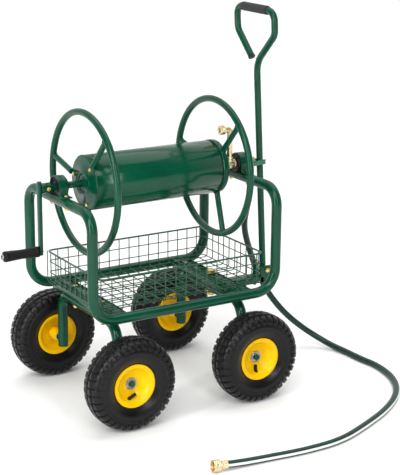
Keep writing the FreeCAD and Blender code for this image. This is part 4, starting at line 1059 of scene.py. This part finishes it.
elbow_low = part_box("inlet_elbow")[0]
inlet_x = hose_exit[0]
run = inlet_x - elbow_low.x
swivel_outline = [(0.0, 0.0096), (0.0, 0.0118), (0.0010, 0.0125), (0.0060, 0.0125), (0.0068, 0.0114),
                  (0.0080, 0.0114), (0.0088, 0.0124), (run, 0.0124), (run, 0.0), (0.018, 0.0),
                  (0.018, 0.0096), (0.0, 0.0096)]
swivel = turn_on_lathe("swivel", swivel_outline, (elbow_low.x, 0, shaft_height), (1, 0, 0), 48, 0.0004, 2)
elbow_middle = (inlet_x, 0, shaft_height)
pick()
bpy.ops.mesh.primitive_uv_sphere_add(segments=40, ring_count=20, radius=0.0143, location=elbow_middle)
bpy.ops.object.shade_smooth()
corner = bpy.context.object
drop = shaft_height - elbow_low.z
drop_outline = [(0.0, 0.0), (0.0, 0.0108), (drop - 0.010, 0.0108), (drop - 0.009, 0.0098),
                (drop - 0.007, 0.0098), (drop - 0.006, 0.0110), (drop - 0.001, 0.0110), (drop, 0.0102),
                (drop, 0.0)]
leg = turn_on_lathe("drop", drop_outline, elbow_middle, (0, 0, -1), 48, 0.0004, 2)
joined("swivel_inlet_elbow", [swivel, corner, leg])
settle(swivel, "frame", "brass", cast_brass, "inlet_elbow")
ferrule_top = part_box("inlet_ferrule")[1].z
ferrule_outline = [(0.0, 0.0), (0.0, 0.0098), (0.0008, 0.0104)] + crimps(4, 0.0104)
ferrule_outline += [(0.0232, 0.0104), (0.0240, 0.0098), (0.0240, 0.0)]
ferrule = turn_on_lathe("crimped_inlet_ferrule", ferrule_outline, (inlet_x, 0, ferrule_top), (0, 0, -1), 48,
                        0.0003)
settle(ferrule, "frame", "brass", turned_brass, "inlet_ferrule")


# ---- floor and lights
# A pale seamless floor under a dim studio whose far wall is bright, two broad suns for the
# overhead light, and two tall softboxes for the streaks on the tubes.
pick()
bpy.ops.mesh.primitive_plane_add(size=40, location=(0, 0, 0))
floor = bpy.context.object
floor.name = "studio_floor"
floor_paint, tree, on_piece = new_material("pale_studio_floor")
cloud = add_node(tree, "TexNoise", {"Scale": 2, "Detail": 2}, on_piece)
whites = [(0.3, linear("#f2f2f1")), (0.7, linear("#f6f6f5"))]
tone = add_node(tree, "ValToRGB", {"stops": whites}, {"Fac": cloud})
finish_material(tree, {"Roughness": 0.9}, {"Base Color": tone})
floor.data.materials.append(floor_paint)

world = bpy.data.worlds.new("studio")
bpy.context.scene.world = world
world.use_nodes = True
sky = world.node_tree
far_wall = Vector((0.524, 0.851, 0.12))
sight = add_node(sky, "TexCoord").outputs["Generated"]
facing = add_node(sky, "VectorMath", {"operation": "DOT_PRODUCT", 1: far_wall}, {0: sight})
brightness = add_node(sky, "MapRange", {"From Min": -1.0, "From Max": 1.0},
                      {"Value": facing.outputs["Value"]})
greys = [(0.0, grey(0.04)), (0.45, grey(0.14)), (0.62, grey(0.75)), (1.0, grey(1))]
walls = add_node(sky, "ValToRGB", {"stops": greys}, {"Fac": brightness})
sky.links.new(walls.outputs["Color"], sky.nodes["Background"].inputs["Color"])


def hang_lamp(name, kind, spot, towards, **settings):
    """A lamp at a spot, shining towards another, with its own settings."""
    lamp_data = bpy.data.lights.new(name, kind)
    for key, value in settings.items():
        setattr(lamp_data, key, value)
    lamp = bpy.data.objects.new(name, lamp_data)
    lamp.location = spot
    lamp.rotation_euler = (Vector(spot) - Vector(towards)).to_track_quat("Z", "Y").to_euler()
    bpy.context.scene.collection.objects.link(lamp)


hang_lamp("key_sun", "SUN", (-0.55, -0.75, 1.0), (0, 0, 0), energy=1.35, angle=math.radians(35))
hang_lamp("top_sun", "SUN", (0.2, 0.15, 1.0), (0, 0, 0), energy=1.2, angle=math.radians(60))
hang_lamp("left_softbox", "AREA", (-3.0, -1.2, 1.4), (0, 0, 0.5), shape="RECTANGLE", size=0.25,
          size_y=2.4, energy=60)
hang_lamp("front_softbox", "AREA", (-0.5, -3.6, 1.7), (0, 0, 0.5), shape="RECTANGLE", size=0.22,
          size_y=2.4, energy=45)
bpy.context.scene.view_settings.view_transform = "Standard"
